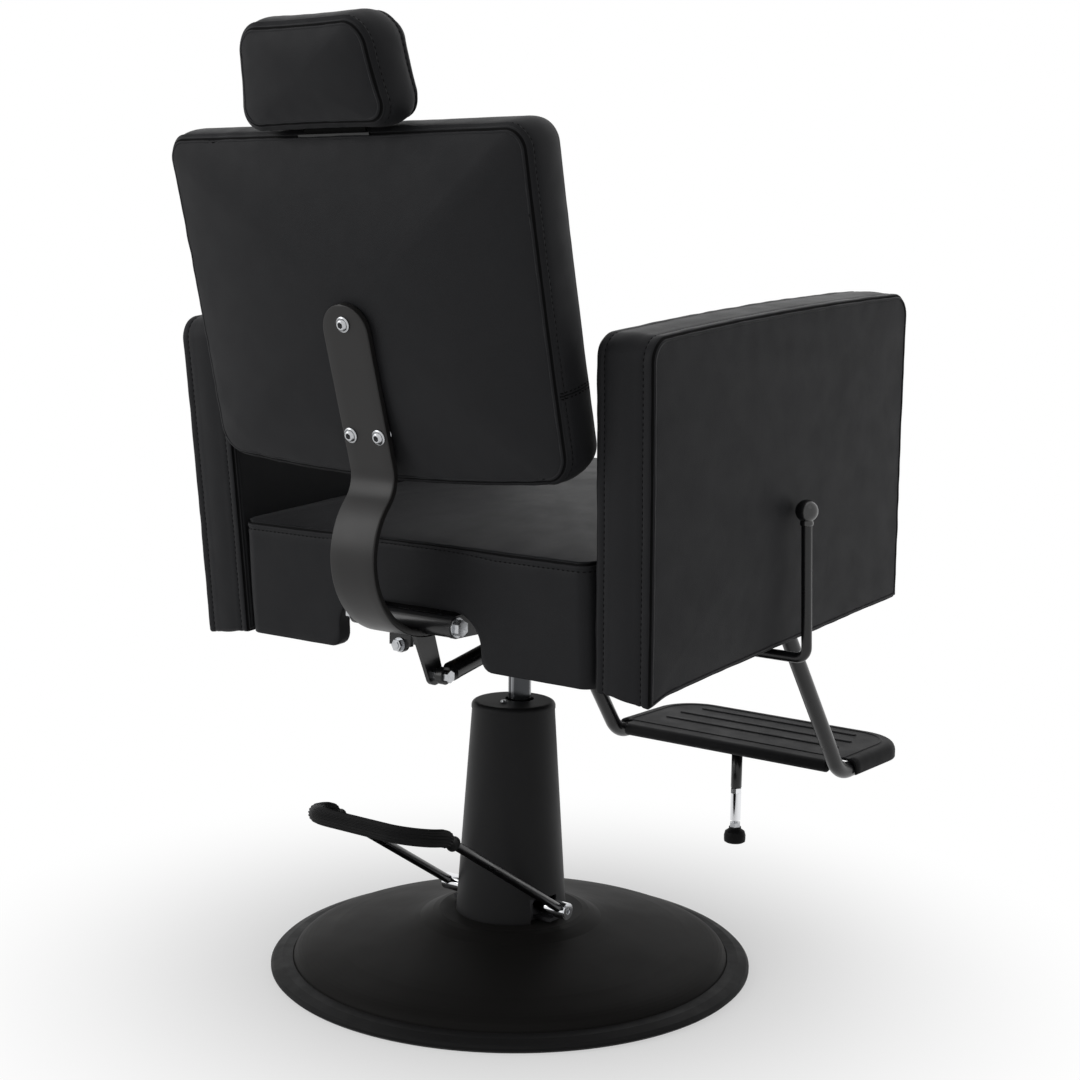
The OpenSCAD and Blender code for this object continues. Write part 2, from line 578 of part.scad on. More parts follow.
module clamp_section() difference() {
    union() {
        translate([0, run_z]) circle(foot_tube_r + 3.3);
        translate([-clamp_half, board_low - 3.1]) square([2 * clamp_half, 3]);
    }
    translate([0, run_z]) circle(foot_tube_r + 0.2);
    translate([-foot_tube_r - 0.2, run_z]) square([2 * foot_tube_r + 0.4, 30]);
    translate([-50, board_low - 0.1]) square([100, 30]);
}
module tube_clamps() color(black) on_seat() both() difference() {
    for (y = clamp_y) translate([foot_half, y + 8, 0]) rotate([90, 0, 0]) linear_extrude(16)
        clamp_section();
    for (p = clamp_screw_spots) translate([p[0], p[1], board_low - 10]) cylinder(r = 2 + fit, h = 20);
}
pad_half = 202;
pad_front = -702.5;
pad_rear = -505;
pad_top = 186;
pad_low = 182.4;
lip_low = 164;
pad_mid = (pad_front + pad_rear) / 2 + 10;
pad_deep = (pad_rear - pad_front) / 2 + 10;
pad_corner = 70;
roll_r = 9;
notch_x = 172;
notch_y = -530;
function pad_line(in) = [for (p = outline(pad_half - in, pad_deep - in, [4, 4, pad_corner - in,
    pad_corner - in], n = 10)) [p[0], p[1] + pad_mid]];
// Inset and height of the rolled edge: down its outside, then up its inside
pad_rings = [[12, pad_top], [7.4, pad_top - 1], [3.4, pad_top - 3.9], [0.9, pad_top - 8.6], [0, 171], [0,
    lip_low], [2.5, lip_low], [2.5, 171], [3.3, 175.8], [5.4, 179.4], [8.4, 181.7], [12, pad_low]];
module pad_shell() {
    loops = [for (s = pad_rings) [for (p = pad_line(s[0])) [p[0], p[1], s[1]]]];
    n = len(loops[0]);
    m = len(loops);
    polyhedron([for (l = loops) each l], concat([[for (i = [n - 1:-1:0]) i]], [for (k = [0:m - 2], i =
        [0:n - 1])
        [k * n + i, k * n + (i + 1) % n, (k + 1) * n + (i + 1) % n, (k + 1) * n + i]],
        [[for (i = [0:n - 1]) (m - 1) * n + i]]));
}
module footrest_pad() color(black) {
    difference() {
        union() {
            pad_shell();
            translate([0, 0, pad_top - 0.5]) linear_extrude(2) difference() {
                polygon(pad_line(19));
                polygon(pad_line(21.5));
            }
        }
        both() translate([notch_x, notch_y, 100]) cube([60, 100, 100]);
        translate([-300, pad_rear, 100]) cube([600, 60, 200]);
    }
    translate([0, pad_rear + 0.1, pad_top - roll_r - 0.1]) bar_x(roll_r, 2 * notch_x - 2);
    for (y = [-657, -617, -577]) translate([0, y, pad_top - 0.5]) linear_extrude(2.3)
        polygon(outline(y < -650 ? 134 : 148, 4, [3.9, 3.9, 3.9, 3.9]));
}
module foot_barrel() color(chrome) translate([0, post_y, 0]) difference() {
    union() {
        translate([0, 0, 59]) cylinder(r = 7.75, h = 41);
        translate([0, 0, 100.1]) cylinder(r = 8.6, h = 7.7, $fn = 6);
        translate([0, 0, 99]) cylinder(r = 4, h = 42);
    }
    translate([0, 0, 58]) cylinder(r = 4 + fit, h = 38);
}
module foot_stud() color(zinc) translate([0, post_y, 0]) {
    translate([0, 0, 42]) cylinder(r = 4, h = 48);
    translate([0, 0, 48.6]) cylinder(r = 8.4, h = 6.4, $fn = 6);
}
module rubber_foot() color(rubber) translate([0, post_y, 0]) difference() {
    rotate_extrude() polygon([[0, 25], [13, 25], [15.5, 26.5], [16, 30], [16, 36], [14.5, 41.5], [9,
        45.5], [9, 48.4], [0, 48.4]]);
    translate([0, 0, 41.9]) cylinder(r = 4 + fit, h = 20);
}

// ---- Recline strut ----
eye_y = 190;
eye_z = 403;
strut_x = -44;
strut_rise = 11;
strut_length = 265;
module on_strut() translate([strut_x, eye_y, eye_z]) rotate([90 - strut_rise, 0, 0]) children();
strut_front_y = eye_y - strut_length * cos(strut_rise);
strut_front_z = eye_z + strut_length * sin(strut_rise);
strut_front = world_to_seat(strut_front_y, strut_front_z);
module strut_bracket() color(black) difference() {
    on_seat() for (x = [-56, -37]) translate([x, strut_front[0] - 13, strut_front[1] - 12])
        cube([5, 26, plate_low - 0.05 - strut_front[1] + 12]);
    translate([strut_x, strut_front_y, strut_front_z]) bar_x(5 + fit, 60);
}
module strut_rod() color(chrome) {
    difference() {
        on_strut() union() {
            translate([0, 0, 125]) cylinder(r = 4, h = strut_length - 130);
            translate([0, 0, 125]) cylinder(r = 7.9, h = 10);
        }
        translate([strut_x, strut_front_y, strut_front_z]) bar_x(5, 30);
    }
    translate([strut_x, strut_front_y, strut_front_z]) {
        bar_x(9, 10);
        bar_x(5, 26);
    }
}
eye_slack = 2.3;
pin_r = 4;
module strut_cylinder() color(black) difference() {
    on_strut() union() {
        bar_x(10, 9);
        cylinder(r = 5, h = 18);
        translate([0, 0, 14]) cylinder(r = 11.3, h = 6);
        translate([0, 0, 20]) cylinder(r = 11, h = 150);
    }
    on_strut() bar_x(pin_r + eye_slack, 40);
    on_strut() translate([0, 0, 26]) cylinder(r = 8, h = 138);
    on_strut() translate([0, 0, 160]) cylinder(r = 4 + fit, h = 20);
}

// ---- Recline lever ----
lever_y = -93;
lever_z = 420.5;
lever_in = 66;
lever_bend = 14;
lever_lean = 3.8;
knob_r = 13.3;
knob_up = 175;
lever_steps = [["go", lever_x - lever_in - lever_bend], ["turn", lever_bend, 90, 0], ["go",
    knob_up - lever_bend]];
module on_lever() translate([-lever_in, lever_y, lever_z]) rotate([-lever_lean, 0, 0]) rotate([0, -90,
    0]) children();
module recline_lever() color(black) {
    on_lever() rod_path(lever_steps, lever_r);
    translate([-lever_in - 2, lever_y, lever_z]) rotate([28, 0, 0]) translate([0, -5, lever_r - 1])
        cube([4, 10, 16]);
}
knob_bore = lever_r + fit;
module lever_knob() color(black) on_lever() translate([knob_up, 0, lever_x - lever_in]) rotate([0, 90,
    0]) rotate_extrude()
    polygon(concat([[0, 0.1], [knob_bore, 0.1]], arc([0, 0], knob_r, -acos(knob_bore / knob_r), 90, 20)));
hanger_x = [-112, -225];
module lever_hangers() color(black) difference() {
    on_seat() union() for (x = hanger_x) {
        p = world_to_seat(lever_y, lever_z);
        translate([x, p[0] - 12, p[1]]) cube([4, 24, board_low - 0.1 - p[1]]);
        translate([x + 2, p[0], p[1]]) bar_x(12, 4);
        translate([x - 12, p[0] - 12, board_low - 4]) cube([16, 24, 3.9]);
    }
    translate([0, lever_y, lever_z]) bar_x(lever_r + fit, 600);
}

// ---- Carrier bar and recline joint ----
bow_c = [201, 545];
bar_tilt = 16;
face_y = 309.7;
face_z = 802;
bar_dir = [sin(bar_tilt), cos(bar_tilt)];
bar_out = [cos(bar_tilt), -sin(bar_tilt)];
// Centre of the upper bend: tangent to the straight part and to the bow
to_bow = [face_y, face_z] + bend_r * bar_out - bow_c;
along = -to_bow * bar_dir - sqrt(pow(to_bow * bar_dir, 2) - to_bow * to_bow + pow(bow_r + bend_r, 2));
upper = -to_bow * bar_dir + sqrt(pow(to_bow * bar_dir, 2) - to_bow * to_bow + pow(bow_r + bend_r, 2));
bend_c = bow_c + to_bow + max(along, upper) * bar_dir;
bow_top = atan2(bend_c[1] - bow_c[1], bend_c[0] - bow_c[0]);
function bar_line(in) = concat(
    arc(bow_c, bow_r - in, -91.5, bow_top, 24),
    arc(bend_c, bend_r + in, bow_top + 180, 180 - bar_tilt, 8),
    [[face_y, face_z] - in * bar_out + 40 * bar_dir]);
bar_top = 825.5;
back_bolt_spots = [[0, 1], [20.5, -127], [-20.5, -127]];
module on_face() translate([0, face_y, face_z]) rotate([-bar_tilt, 0, 0]) children();
module carrier_bar() color(black) difference() {
    intersection() {
        translate([-bar_w / 2, 0, 0]) rotate([90, 0, 90]) linear_extrude(bar_w)
            polygon(concat(bar_line(0), reversed(bar_line(bar_t))));
        translate([0, 450, 0]) rotate([90, 0, 0]) linear_extrude(450) union() {
            translate([-bar_w / 2, 300]) square([bar_w, bar_top - bar_w / 2 - 300]);
            translate([0, bar_top - bar_w / 2]) circle(bar_w / 2);
        }
    }
    for (p = back_bolt_spots) on_face() translate([p[0], -20, p[1]]) bar_y(4 + fit, 40);
    translate([0, pivot_y, pivot_z]) bar_x(tube_r + fit, 200);
}
tube_r = 12.5;
module recline_tube() color(black) translate([0, pivot_y, pivot_z]) difference() {
    bar_x(tube_r, 2 * ear_x - 0.6);
    both() translate([ear_x, 0, 0]) bar_x(6 + fit, 60);
}
arm_x = -33;
module lever_arm() color(black) difference() {
    union() {
        translate([arm_x, 0, 0]) rotate([90, 0, 90]) linear_extrude(5) union() {
            polygon([[229, 460], [196, 462], [178.2, 407], [202.2, 400]]);
            translate([eye_y, eye_z]) circle(12.5);
        }
        translate([4, 205, 0]) rotate([-90, 0, 0]) linear_extrude(5) union() {
            translate([-16, -455]) square([32, 20]);
            translate([0, -438]) circle(11);
            translate([-16, -440]) square([32, 4]);
        }
    }
    translate([0, bow_c[0], bow_c[1]]) bar_x(bow_r + fit, 200);
    translate([0, pivot_y, pivot_z]) bar_x(tube_r + fit, 200);
    translate([arm_x, eye_y, eye_z]) bar_x(pin_r + fit, 30);
    translate([4, 190, 436]) bar_y(4 + fit, 40);
}
module stop_screw() color(zinc) {
    translate([4, 190, 436]) bar_y(4, 28);
    translate([4, 210.1, 436]) bar_y(8.5, 1.6);
    translate([4, 210.1, 436]) rotate([-90, 0, 0]) cylinder(r = 7.2, h = 7, $fn = 6);
}
module pivot_bolts() color(zinc) {
    both() translate([0, pivot_y, pivot_z]) rotate([0, 90, 0]) {
        translate([0, 0, ear_x - 28]) cylinder(r = 6, h = 28 + ear_t + 3);
        translate([0, 0, ear_x + ear_t + 0.2]) cylinder(r = 11.5, h = 2);
        translate([0, 0, ear_x + ear_t + 2]) cylinder(r = 9.6, h = 7.5, $fn = 6);
    }
    translate([0, eye_y, eye_z]) rotate([0, -90, 0]) {
        translate([0, 0, 22]) cylinder(r = pin_r, h = 30);
        translate([0, 0, -arm_x + 0.1]) cylinder(r = 7.4, h = 5.8, $fn = 6);
        translate([0, 0, -strut_x + 5]) cylinder(r = 7.4, h = 6.5, $fn = 6);
        translate([0, 0, 22]) cylinder(r = 7.4, h = 5.9, $fn = 6);
    }
}
module back_bolts() color(zinc) for (p = back_bolt_spots) on_face() translate([p[0], 0, p[1]]) {
    translate([0, 0.1, 0]) bar_y(8.2, 1.4);
    translate([0, 1.5, 0]) rotate([-90, 0, 0]) difference() {
        cylinder(r1 = 7, r2 = 4.6, h = 4);
        translate([0, 0, 1]) cylinder(r = 2.6, h = 9, $fn = 6);
    }
    translate([0, -36, 0]) bar_y(4, 37);
    translate([0, p[1] > 0 ? -30.4 : -25, 0]) bar_y(7.5, p[1] > 0 ? 22.3 : 16.9);
}

// ---- Back ----
back_mid = back_height / 2;
back_corner = [24, 24, 32, 32];
back_crown = 21;
back_sag = 12;
ply_front = -12.9;
slot_half = 51;
module back_board() color(wood) difference() {
    on_back() translate([0, -1.1, back_mid]) rotate([90, 0, 0]) linear_extrude(-ply_front - 1.2)
        difference() {
        polygon(outline(back_half - 3, back_mid - 3, back_corner));
        translate([-slot_half, 30]) square([2 * slot_half, 300]);
    }
    for (p = back_bolt_spots) on_face() translate([p[0], -60, p[1]]) bar_y(4 + fit, 80);
}
module back_panel() color(vinyl) on_back() translate([0, 0, back_mid]) rotate([90, 0, 0])
    cushion(back_half, back_mid, back_corner, 1, c0 = back_crown, d = [0, 0, -back_sag, 0]);
module back_cushion() color(vinyl) on_back() translate([0, ply_front - 0.1, back_mid]) rotate([90, 0, 0])
    cushion(back_half, back_mid, back_corner, back_depth + ply_front, c1 = 20, e1 = 10, bulge = 6, d = [0,
        0, -back_sag, 0]);
guide_low = 300;
guide_top = 371;
tongue_half = 44;
tongue_mid = -7;
module headrest_guide() color(black) on_back() difference() {
    translate([-slot_half + 0.3, ply_front + 0.2, guide_low]) cube([2 * slot_half - 0.6,
        -ply_front - 1.4, guide_top - guide_low]);
    translate([-tongue_half - fit, tongue_mid - 2.5 - fit, 0]) cube([2 * tongue_half + 2 * fit, 5 +
        2 * fit, 500]);
}

// ---- Headrest ----
head_corner = [26, 26, 22, 22];
head_panel_t = 26;
head_taper = 0.085;
// A point of the headrest's frame, given in the back's frame
function head_to_back(y, z) = let (
    p = [head_y + y * cos(head_tilt) + z * sin(head_tilt) - back_y,
        head_z - y * sin(head_tilt) + z * cos(head_tilt) - back_z])
    [p[0] * cos(back_tilt) - p[1] * sin(back_tilt), p[0] * sin(back_tilt) + p[1] * cos(back_tilt)];
tongue_bend = head_to_back(-head_panel_t - 8.9, 0)[1];
module headrest_bracket() color(black) on_back() rotate([90, 0, 90])
    linear_extrude(2 * tongue_half, center = true) polygon([
        [tongue_mid + 2.5, 255], [tongue_mid + 2.5, tongue_bend], head_to_back(-head_panel_t - 3.9, 84),
        head_to_back(-head_panel_t - 8.9, 84), [tongue_mid - 2.5, tongue_bend], [tongue_mid - 2.5, 255]]);
module headrest_panel() color(vinyl) on_head() translate([0, 0, head_height / 2]) rotate([90, 0, 0])
    cushion(head_half, head_height / 2, head_corner, head_panel_t, c0 = 9, bulge = 7, taper = head_taper);
module headrest_cushion() color(vinyl) on_head() translate([0, -head_panel_t - 10.5, head_height / 2])
    rotate([90, 0, 0])
    cushion(head_half + 5, head_height / 2 + 4, head_corner, 29.5, c1 = 12, e1 = 12, bulge = 4, taper =
        head_taper);

base_plate();
trim_ring();
base_dome();
pump_block();
pump_bolts();
reservoir_tube();
pump_barrel();
gland_nut();
wiper_seal();
pump_cover();
cover_cap();
cap_screw();
pedal_axle();
pump_cam();
pedal_bar();
pedal_grip();
grub_screws();
plunger();
plunger_spring();
ram();
thrust_bearing();
swivel_plate();
hub_bush();
seat_rails();
recline_ears();
seat_board();
seat_cushion();
skirt_front();
skirt_left();
skirt_right();
skirt_rear();
arm_left();
arm_right();
arm_boards();
seat_bolts();
footrest_frame();
tube_clamps();
footrest_pad();
foot_barrel();
lever_hangers();
strut_bracket();
carrier_bar();
recline_tube();
lever_arm();
stop_screw();
pivot_bolts();
back_bolts();
back_board();
back_panel();
back_cushion();
headrest_guide();
headrest_bracket();
headrest_panel();
headrest_cushion();
strut_rod();
strut_cylinder();
recline_lever();
lever_knob();
foot_stud();
rubber_foot();
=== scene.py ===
import json
import math

import bpy
import numpy as np
from mathutils import Matrix, Vector, noise


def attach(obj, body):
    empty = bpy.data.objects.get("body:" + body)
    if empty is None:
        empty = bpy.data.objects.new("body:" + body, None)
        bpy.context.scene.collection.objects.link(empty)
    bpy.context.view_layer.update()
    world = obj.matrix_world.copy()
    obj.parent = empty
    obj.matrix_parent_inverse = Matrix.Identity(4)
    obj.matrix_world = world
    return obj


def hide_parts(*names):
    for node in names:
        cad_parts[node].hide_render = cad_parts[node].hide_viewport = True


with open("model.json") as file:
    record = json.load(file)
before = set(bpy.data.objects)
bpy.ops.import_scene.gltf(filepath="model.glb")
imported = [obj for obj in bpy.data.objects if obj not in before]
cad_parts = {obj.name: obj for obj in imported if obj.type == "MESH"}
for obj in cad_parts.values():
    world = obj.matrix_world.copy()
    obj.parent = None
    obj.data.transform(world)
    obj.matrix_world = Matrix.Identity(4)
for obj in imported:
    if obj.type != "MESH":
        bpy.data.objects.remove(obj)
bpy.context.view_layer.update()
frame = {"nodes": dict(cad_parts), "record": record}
# The part's own shapes are in millimetres and degrees. Camera, lights, floor and materials are in metres.
MM = 0.001


# ---- Camera ----
FRAME_PX, FOCAL_PX, SENSOR = 1080, 1949, 36
CAMERA_TURN = (143.18, -8.6, 0.84)
CAMERA_PLACE = (-1.439, 1.872, 0.877)
CAMERA_SHIFT = 0.0117


def make_camera():
    """The photo's view."""
    yaw, pitch, roll = (math.radians(a) for a in CAMERA_TURN)
    ahead = Vector((math.sin(yaw) * math.cos(pitch), math.cos(yaw) * math.cos(pitch), math.sin(pitch)))
    right = Vector((math.cos(yaw), -math.sin(yaw), 0))
    up = right.cross(ahead)
    right, up = right * math.cos(roll) + up * math.sin(roll), up * math.cos(roll) - right * math.sin(roll)
    cam = bpy.data.objects.new("camera", bpy.data.cameras.new("camera"))
    turn = Matrix((right, up, -ahead)).transposed().to_4x4()
    cam.matrix_world = Matrix.Translation(Vector(CAMERA_PLACE)) @ turn
    cam.data.lens = FOCAL_PX / FRAME_PX * SENSOR
    cam.data.sensor_width = SENSOR
    cam.data.shift_y = CAMERA_SHIFT
    bpy.context.scene.collection.objects.link(cam)
    bpy.context.scene.camera = cam


make_camera()
bpy.context.scene.view_settings.view_transform = "Standard"


# ---- Light, floor and background ----
WORLD_LIGHT = 0.21
LIGHTS = (  # name, place, aim, size in metres, power in watts
    ("key", (-2.2, 0.6, 2.6), (0, 0, 0.6), (1.6, 1.6), 2),
    ("fill", (1.9, 2.3, 1.7), (0, 0, 0.5), (1.6, 1.8), 23),
    ("front", (0.4, -2.8, 2.0), (0, 0, 0.6), (2.0, 1.6), 6),
    ("top", (0, 0.2, 3.2), (0, 0, 0), (1.8, 1.8), 4))
FLOOR_HALF, FLOOR_DROP, FLOOR_GREY = 9, 0.0005, 0.92
FADE_FROM, FADE_TO = -0.25, 0.80


def add_light(name, spot, aim, size, power):
    data = bpy.data.lights.new(name, "AREA")
    data.shape = "RECTANGLE"
    data.size, data.size_y = size
    data.energy = power
    o = bpy.data.objects.new(name, data)
    o.location = spot
    o.rotation_mode = "QUATERNION"
    o.rotation_quaternion = (Vector(aim) - Vector(spot)).to_track_quat("-Z", "Y")
    bpy.context.scene.collection.objects.link(o)


def white_where_seen(tree, seen, lit):
    """A mix of the shader lit with the shader seen for camera, glossy and transmission rays."""
    path = tree.nodes.new("ShaderNodeLightPath")
    most = [path.outputs["Is Camera Ray"], path.outputs["Is Glossy Ray"], path.outputs["Is Transmission Ray"]]
    total = most[0]
    for other in most[1:]:
        top = tree.nodes.new("ShaderNodeMath")
        top.operation = "MAXIMUM"
        tree.links.new(total, top.inputs[0])
        tree.links.new(other, top.inputs[1])
        total = top.outputs[0]
    mix = tree.nodes.new("ShaderNodeMixShader")
    tree.links.new(total, mix.inputs[0])
    tree.links.new(lit, mix.inputs[1])
    tree.links.new(seen, mix.inputs[2])
    return mix.outputs[0]


def fade_to_white(tree, shader):
    """The floor turns into the white background away from the object and its shadow."""
    place = tree.nodes.new("ShaderNodeTexCoord").outputs["Object"]
    far = tree.nodes.new("ShaderNodeVectorMath")
    far.operation = "LENGTH"
    tree.links.new(place, far.inputs[0])
    share = tree.nodes.new("ShaderNodeMapRange")
    share.interpolation_type = "SMOOTHSTEP"
    share.inputs["From Min"].default_value = FADE_FROM
    share.inputs["From Max"].default_value = FADE_TO
    tree.links.new(far.outputs["Value"], share.inputs["Value"])
    glow = tree.nodes.new("ShaderNodeEmission")
    blend = tree.nodes.new("ShaderNodeMixShader")
    tree.links.new(share.outputs["Result"], blend.inputs[0])
    tree.links.new(shader.outputs[0], blend.inputs[1])
    tree.links.new(glow.outputs[0], blend.inputs[2])
    out = tree.nodes["Material Output"]
    tree.links.new(white_where_seen(tree, blend.outputs[0], shader.outputs[0]), out.inputs["Surface"])


def make_stage():
    world = bpy.data.worlds.new("studio")
    bpy.context.scene.world = world
    world.use_nodes = True
    tree = world.node_tree
    lit = tree.nodes["Background"]
    lit.inputs["Color"].default_value = (1, 1, 1, 1)
    lit.inputs["Strength"].default_value = WORLD_LIGHT
    seen = tree.nodes.new("ShaderNodeBackground")
    seen.inputs["Color"].default_value = (1, 1, 1, 1)
    seen.inputs["Strength"].default_value = 1.0
    out = tree.nodes["World Output"]
    tree.links.new(white_where_seen(tree, seen.outputs[0], lit.outputs[0]), out.inputs["Surface"])
    mesh = bpy.data.meshes.new("floor")
    h = FLOOR_HALF
    mesh.from_pydata([(-h, -h, 0), (h, -h, 0), (h, h, 0), (-h, h, 0)], [], [(0, 1, 2, 3)])
    floor = bpy.data.objects.new("floor", mesh)
    floor.location.z = -FLOOR_DROP
    bpy.context.scene.collection.objects.link(floor)
    mat = bpy.data.materials.new("pale_floor")
    mat.use_nodes = True
    shader = mat.node_tree.nodes["Principled BSDF"]
    shader.inputs["Base Color"].default_value = (FLOOR_GREY, FLOOR_GREY, FLOOR_GREY, 1)
    shader.inputs["Roughness"].default_value = 0.8
    shader.inputs["Specular IOR Level"].default_value = 0.1
    mesh.materials.append(mat)
    fade_to_white(mat.node_tree, shader)
    for light in LIGHTS:
        add_light(*light)


make_stage()


# ---- Materials ----
class Paint:
    """A node material on one Principled shader, built up by named steps."""

    def __init__(self, name, colour, rough, metal=0.0, specular=0.5):
        self.mat = bpy.data.materials.new(name)
        self.mat.use_nodes = True
        self.tree = self.mat.node_tree
        self.shader = self.tree.nodes["Principled BSDF"]
        self.shader.inputs["Base Color"].default_value = (*colour, 1)
        self.shader.inputs["Roughness"].default_value = rough
        self.shader.inputs["Metallic"].default_value = metal
        self.shader.inputs["Specular IOR Level"].default_value = specular
        self.mat.diffuse_color = (*colour, 1)
        self.place = self.tree.nodes.new("ShaderNodeTexCoord").outputs["Object"]
        self.height = None

    def node(self, kind, **inputs):
        made = self.tree.nodes.new(kind)
        for key, value in inputs.items():
            made.inputs[key.replace("_", " ")].default_value = value
        return made

    def stretched(self, scale):
        mapping = self.node("ShaderNodeMapping")
        mapping.inputs["Scale"].default_value = scale
        self.tree.links.new(self.place, mapping.inputs["Vector"])
        return mapping.outputs[0]

    def noise(self, scale, detail=2.0, rough=0.5, place=None):
        made = self.node("ShaderNodeTexNoise", Scale=scale, Detail=detail, Roughness=rough)
        self.tree.links.new(place or self.place, made.inputs["Vector"])
        return made.outputs["Fac"]

    def cells(self, scale):
        made = self.node("ShaderNodeTexVoronoi", Scale=scale)
        made.feature = "DISTANCE_TO_EDGE"
        self.tree.links.new(self.place, made.inputs["Vector"])
        return made.outputs["Distance"]

    def span(self, value, low, high, to_low, to_high):
        made = self.tree.nodes.new("ShaderNodeMapRange")
        for key, number in (("From Min", low), ("From Max", high), ("To Min", to_low), ("To Max", to_high)):
            made.inputs[key].default_value = number
        self.tree.links.new(value, made.inputs["Value"])
        return made.outputs["Result"]

    def colours(self, value, dark, light):
        ramp = self.tree.nodes.new("ShaderNodeValToRGB")
        ramp.color_ramp.elements[0].color = (*dark, 1)
        ramp.color_ramp.elements[1].color = (*light, 1)
        self.tree.links.new(value, ramp.inputs["Fac"])
        self.tree.links.new(ramp.outputs["Color"], self.shader.inputs["Base Color"])

    def roughness(self, value, low, high):
        self.tree.links.new(self.span(value, 0.25, 0.75, low, high), self.shader.inputs["Roughness"])

    def bump(self, value, strength, distance):
        made = self.node("ShaderNodeBump", Strength=strength, Distance=distance)
        self.tree.links.new(value, made.inputs["Height"])
        if self.height is not None:
            self.tree.links.new(self.height, made.inputs["Normal"])
        self.height = made.outputs["Normal"]
        self.tree.links.new(self.height, self.shader.inputs["Normal"])

    def coat(self, weight, rough):
        self.shader.inputs["Coat Weight"].default_value = weight
        self.shader.inputs["Coat Roughness"].default_value = rough


def make_vinyl():
    p = Paint("black_vinyl", (0.0225, 0.0228, 0.0245), 0.54, specular=0.10)
    p.colours(p.noise(9, 3, 0.6), (0.0210, 0.0212, 0.0232), (0.0250, 0.0253, 0.0274))
    p.roughness(p.noise(26, 4, 0.6), 0.46, 0.58)
    p.bump(p.span(p.cells(620), 0.0, 0.35, 0.0, 1.0), 0.30, 0.00022)
    p.bump(p.noise(1500, 2, 0.5), 0.14, 0.0001)
    p.bump(p.noise(38, 2, 0.5), 0.10, 0.0012)
    p.shader.inputs["Sheen Weight"].default_value = 0.04
    return p.mat


def make_thread_and_seam_shade():
    # Black thread for the stitches; the same near-black is also painted into the seam folds and the back's
    # side-seam creases as painted shade.
    p = Paint("black_thread_and_seam_shade", (0.0035, 0.0035, 0.0038), 0.7, specular=0.08)
    p.bump(p.noise(3000, 1, 0.5), 0.3, 0.0001)
    return p.mat


def make_powder_coat():
    p = Paint("satin_powder_coat", (0.0240, 0.0240, 0.0250), 0.46, specular=0.12)
    p.roughness(p.noise(14, 3, 0.6), 0.42, 0.50)
    p.colours(p.noise(5, 3, 0.5), (0.0225, 0.0225, 0.0235), (0.0260, 0.0260, 0.0270))
    p.bump(p.noise(900, 2, 0.6), 0.12, 0.00012)
    return p.mat


def make_enamel():
    p = Paint("gloss_enamel", (0.008, 0.008, 0.009), 0.30, specular=0.30)
    p.roughness(p.noise(22, 3, 0.6), 0.24, 0.38)
    p.bump(p.noise(420, 2, 0.5), 0.06, 0.0001)
    p.coat(0.25, 0.18)
    return p.mat


def make_charcoal():
    p = Paint("charcoal_coat", (0.022, 0.0212, 0.0210), 0.40, specular=0.30)
    p.roughness(p.noise(18, 3, 0.6), 0.33, 0.43)
    p.colours(p.noise(7, 2, 0.5), (0.0200, 0.0192, 0.0190), (0.0240, 0.0230, 0.0226))
    p.bump(p.noise(1100, 2, 0.6), 0.10, 0.0001)
    return p.mat


def make_tread():
    p = Paint("moulded_tread", (0.018, 0.018, 0.019), 0.56, specular=0.08)
    p.roughness(p.noise(30, 3, 0.6), 0.50, 0.64)
    p.bump(p.noise(1300, 3, 0.6), 0.25, 0.00015)
    return p.mat


def make_rubber():
    p = Paint("moulded_rubber", (0.0165, 0.0165, 0.0170), 0.5, specular=0.07)
    p.roughness(p.noise(40, 3, 0.6), 0.44, 0.6)
    p.colours(p.noise(16, 3, 0.5), (0.0150, 0.0150, 0.0155), (0.0190, 0.0190, 0.0195))
    p.bump(p.noise(1600, 2, 0.5), 0.15, 0.0001)
    return p.mat


def make_ball():
    p = Paint("gloss_ball", (0.010, 0.010, 0.011), 0.2, specular=0.5)
    p.roughness(p.noise(60, 2, 0.5), 0.16, 0.26)
    p.coat(0.4, 0.1)
    return p.mat


def make_zinc():
    p = Paint("bright_zinc", (0.66, 0.67, 0.69), 0.26, metal=1.0)
    p.colours(p.noise(160, 3, 0.6), (0.38, 0.39, 0.41), (0.58, 0.59, 0.60))
    p.roughness(p.noise(240, 3, 0.6), 0.18, 0.36)
    p.bump(p.noise(900, 2, 0.5), 0.08, 0.0001)
    return p.mat


def make_chrome():
    p = Paint("polished_chrome", (0.80, 0.81, 0.83), 0.07, metal=1.0)
    p.roughness(p.noise(90, 3, 0.6), 0.04, 0.11)
    p.bump(p.noise(700, 2, 0.5), 0.01, 0.00005)
    return p.mat


def make_dome_coat():
    p = Paint("dome_powder_coat", (0.0165, 0.0158, 0.0152), 0.5, specular=0.04)
    p.roughness(p.noise(14, 3, 0.6), 0.46, 0.54)
    p.colours(p.noise(5, 3, 0.5), (0.0155, 0.0149, 0.0144), (0.0175, 0.0168, 0.0162))
    p.bump(p.noise(900, 2, 0.6), 0.12, 0.00012)
    return p.mat


def make_gap_shade_coat():
    # Painted shade: a darker, duller copy of the black coat for the headrest bracket, which sits in the shaded gap
    # under the headrest.
    p = Paint("black_coat_with_gap_shade", (0.006, 0.006, 0.006), 0.6, specular=0.04)
    p.bump(p.noise(900, 2, 0.6), 0.12, 0.00012)
    return p.mat


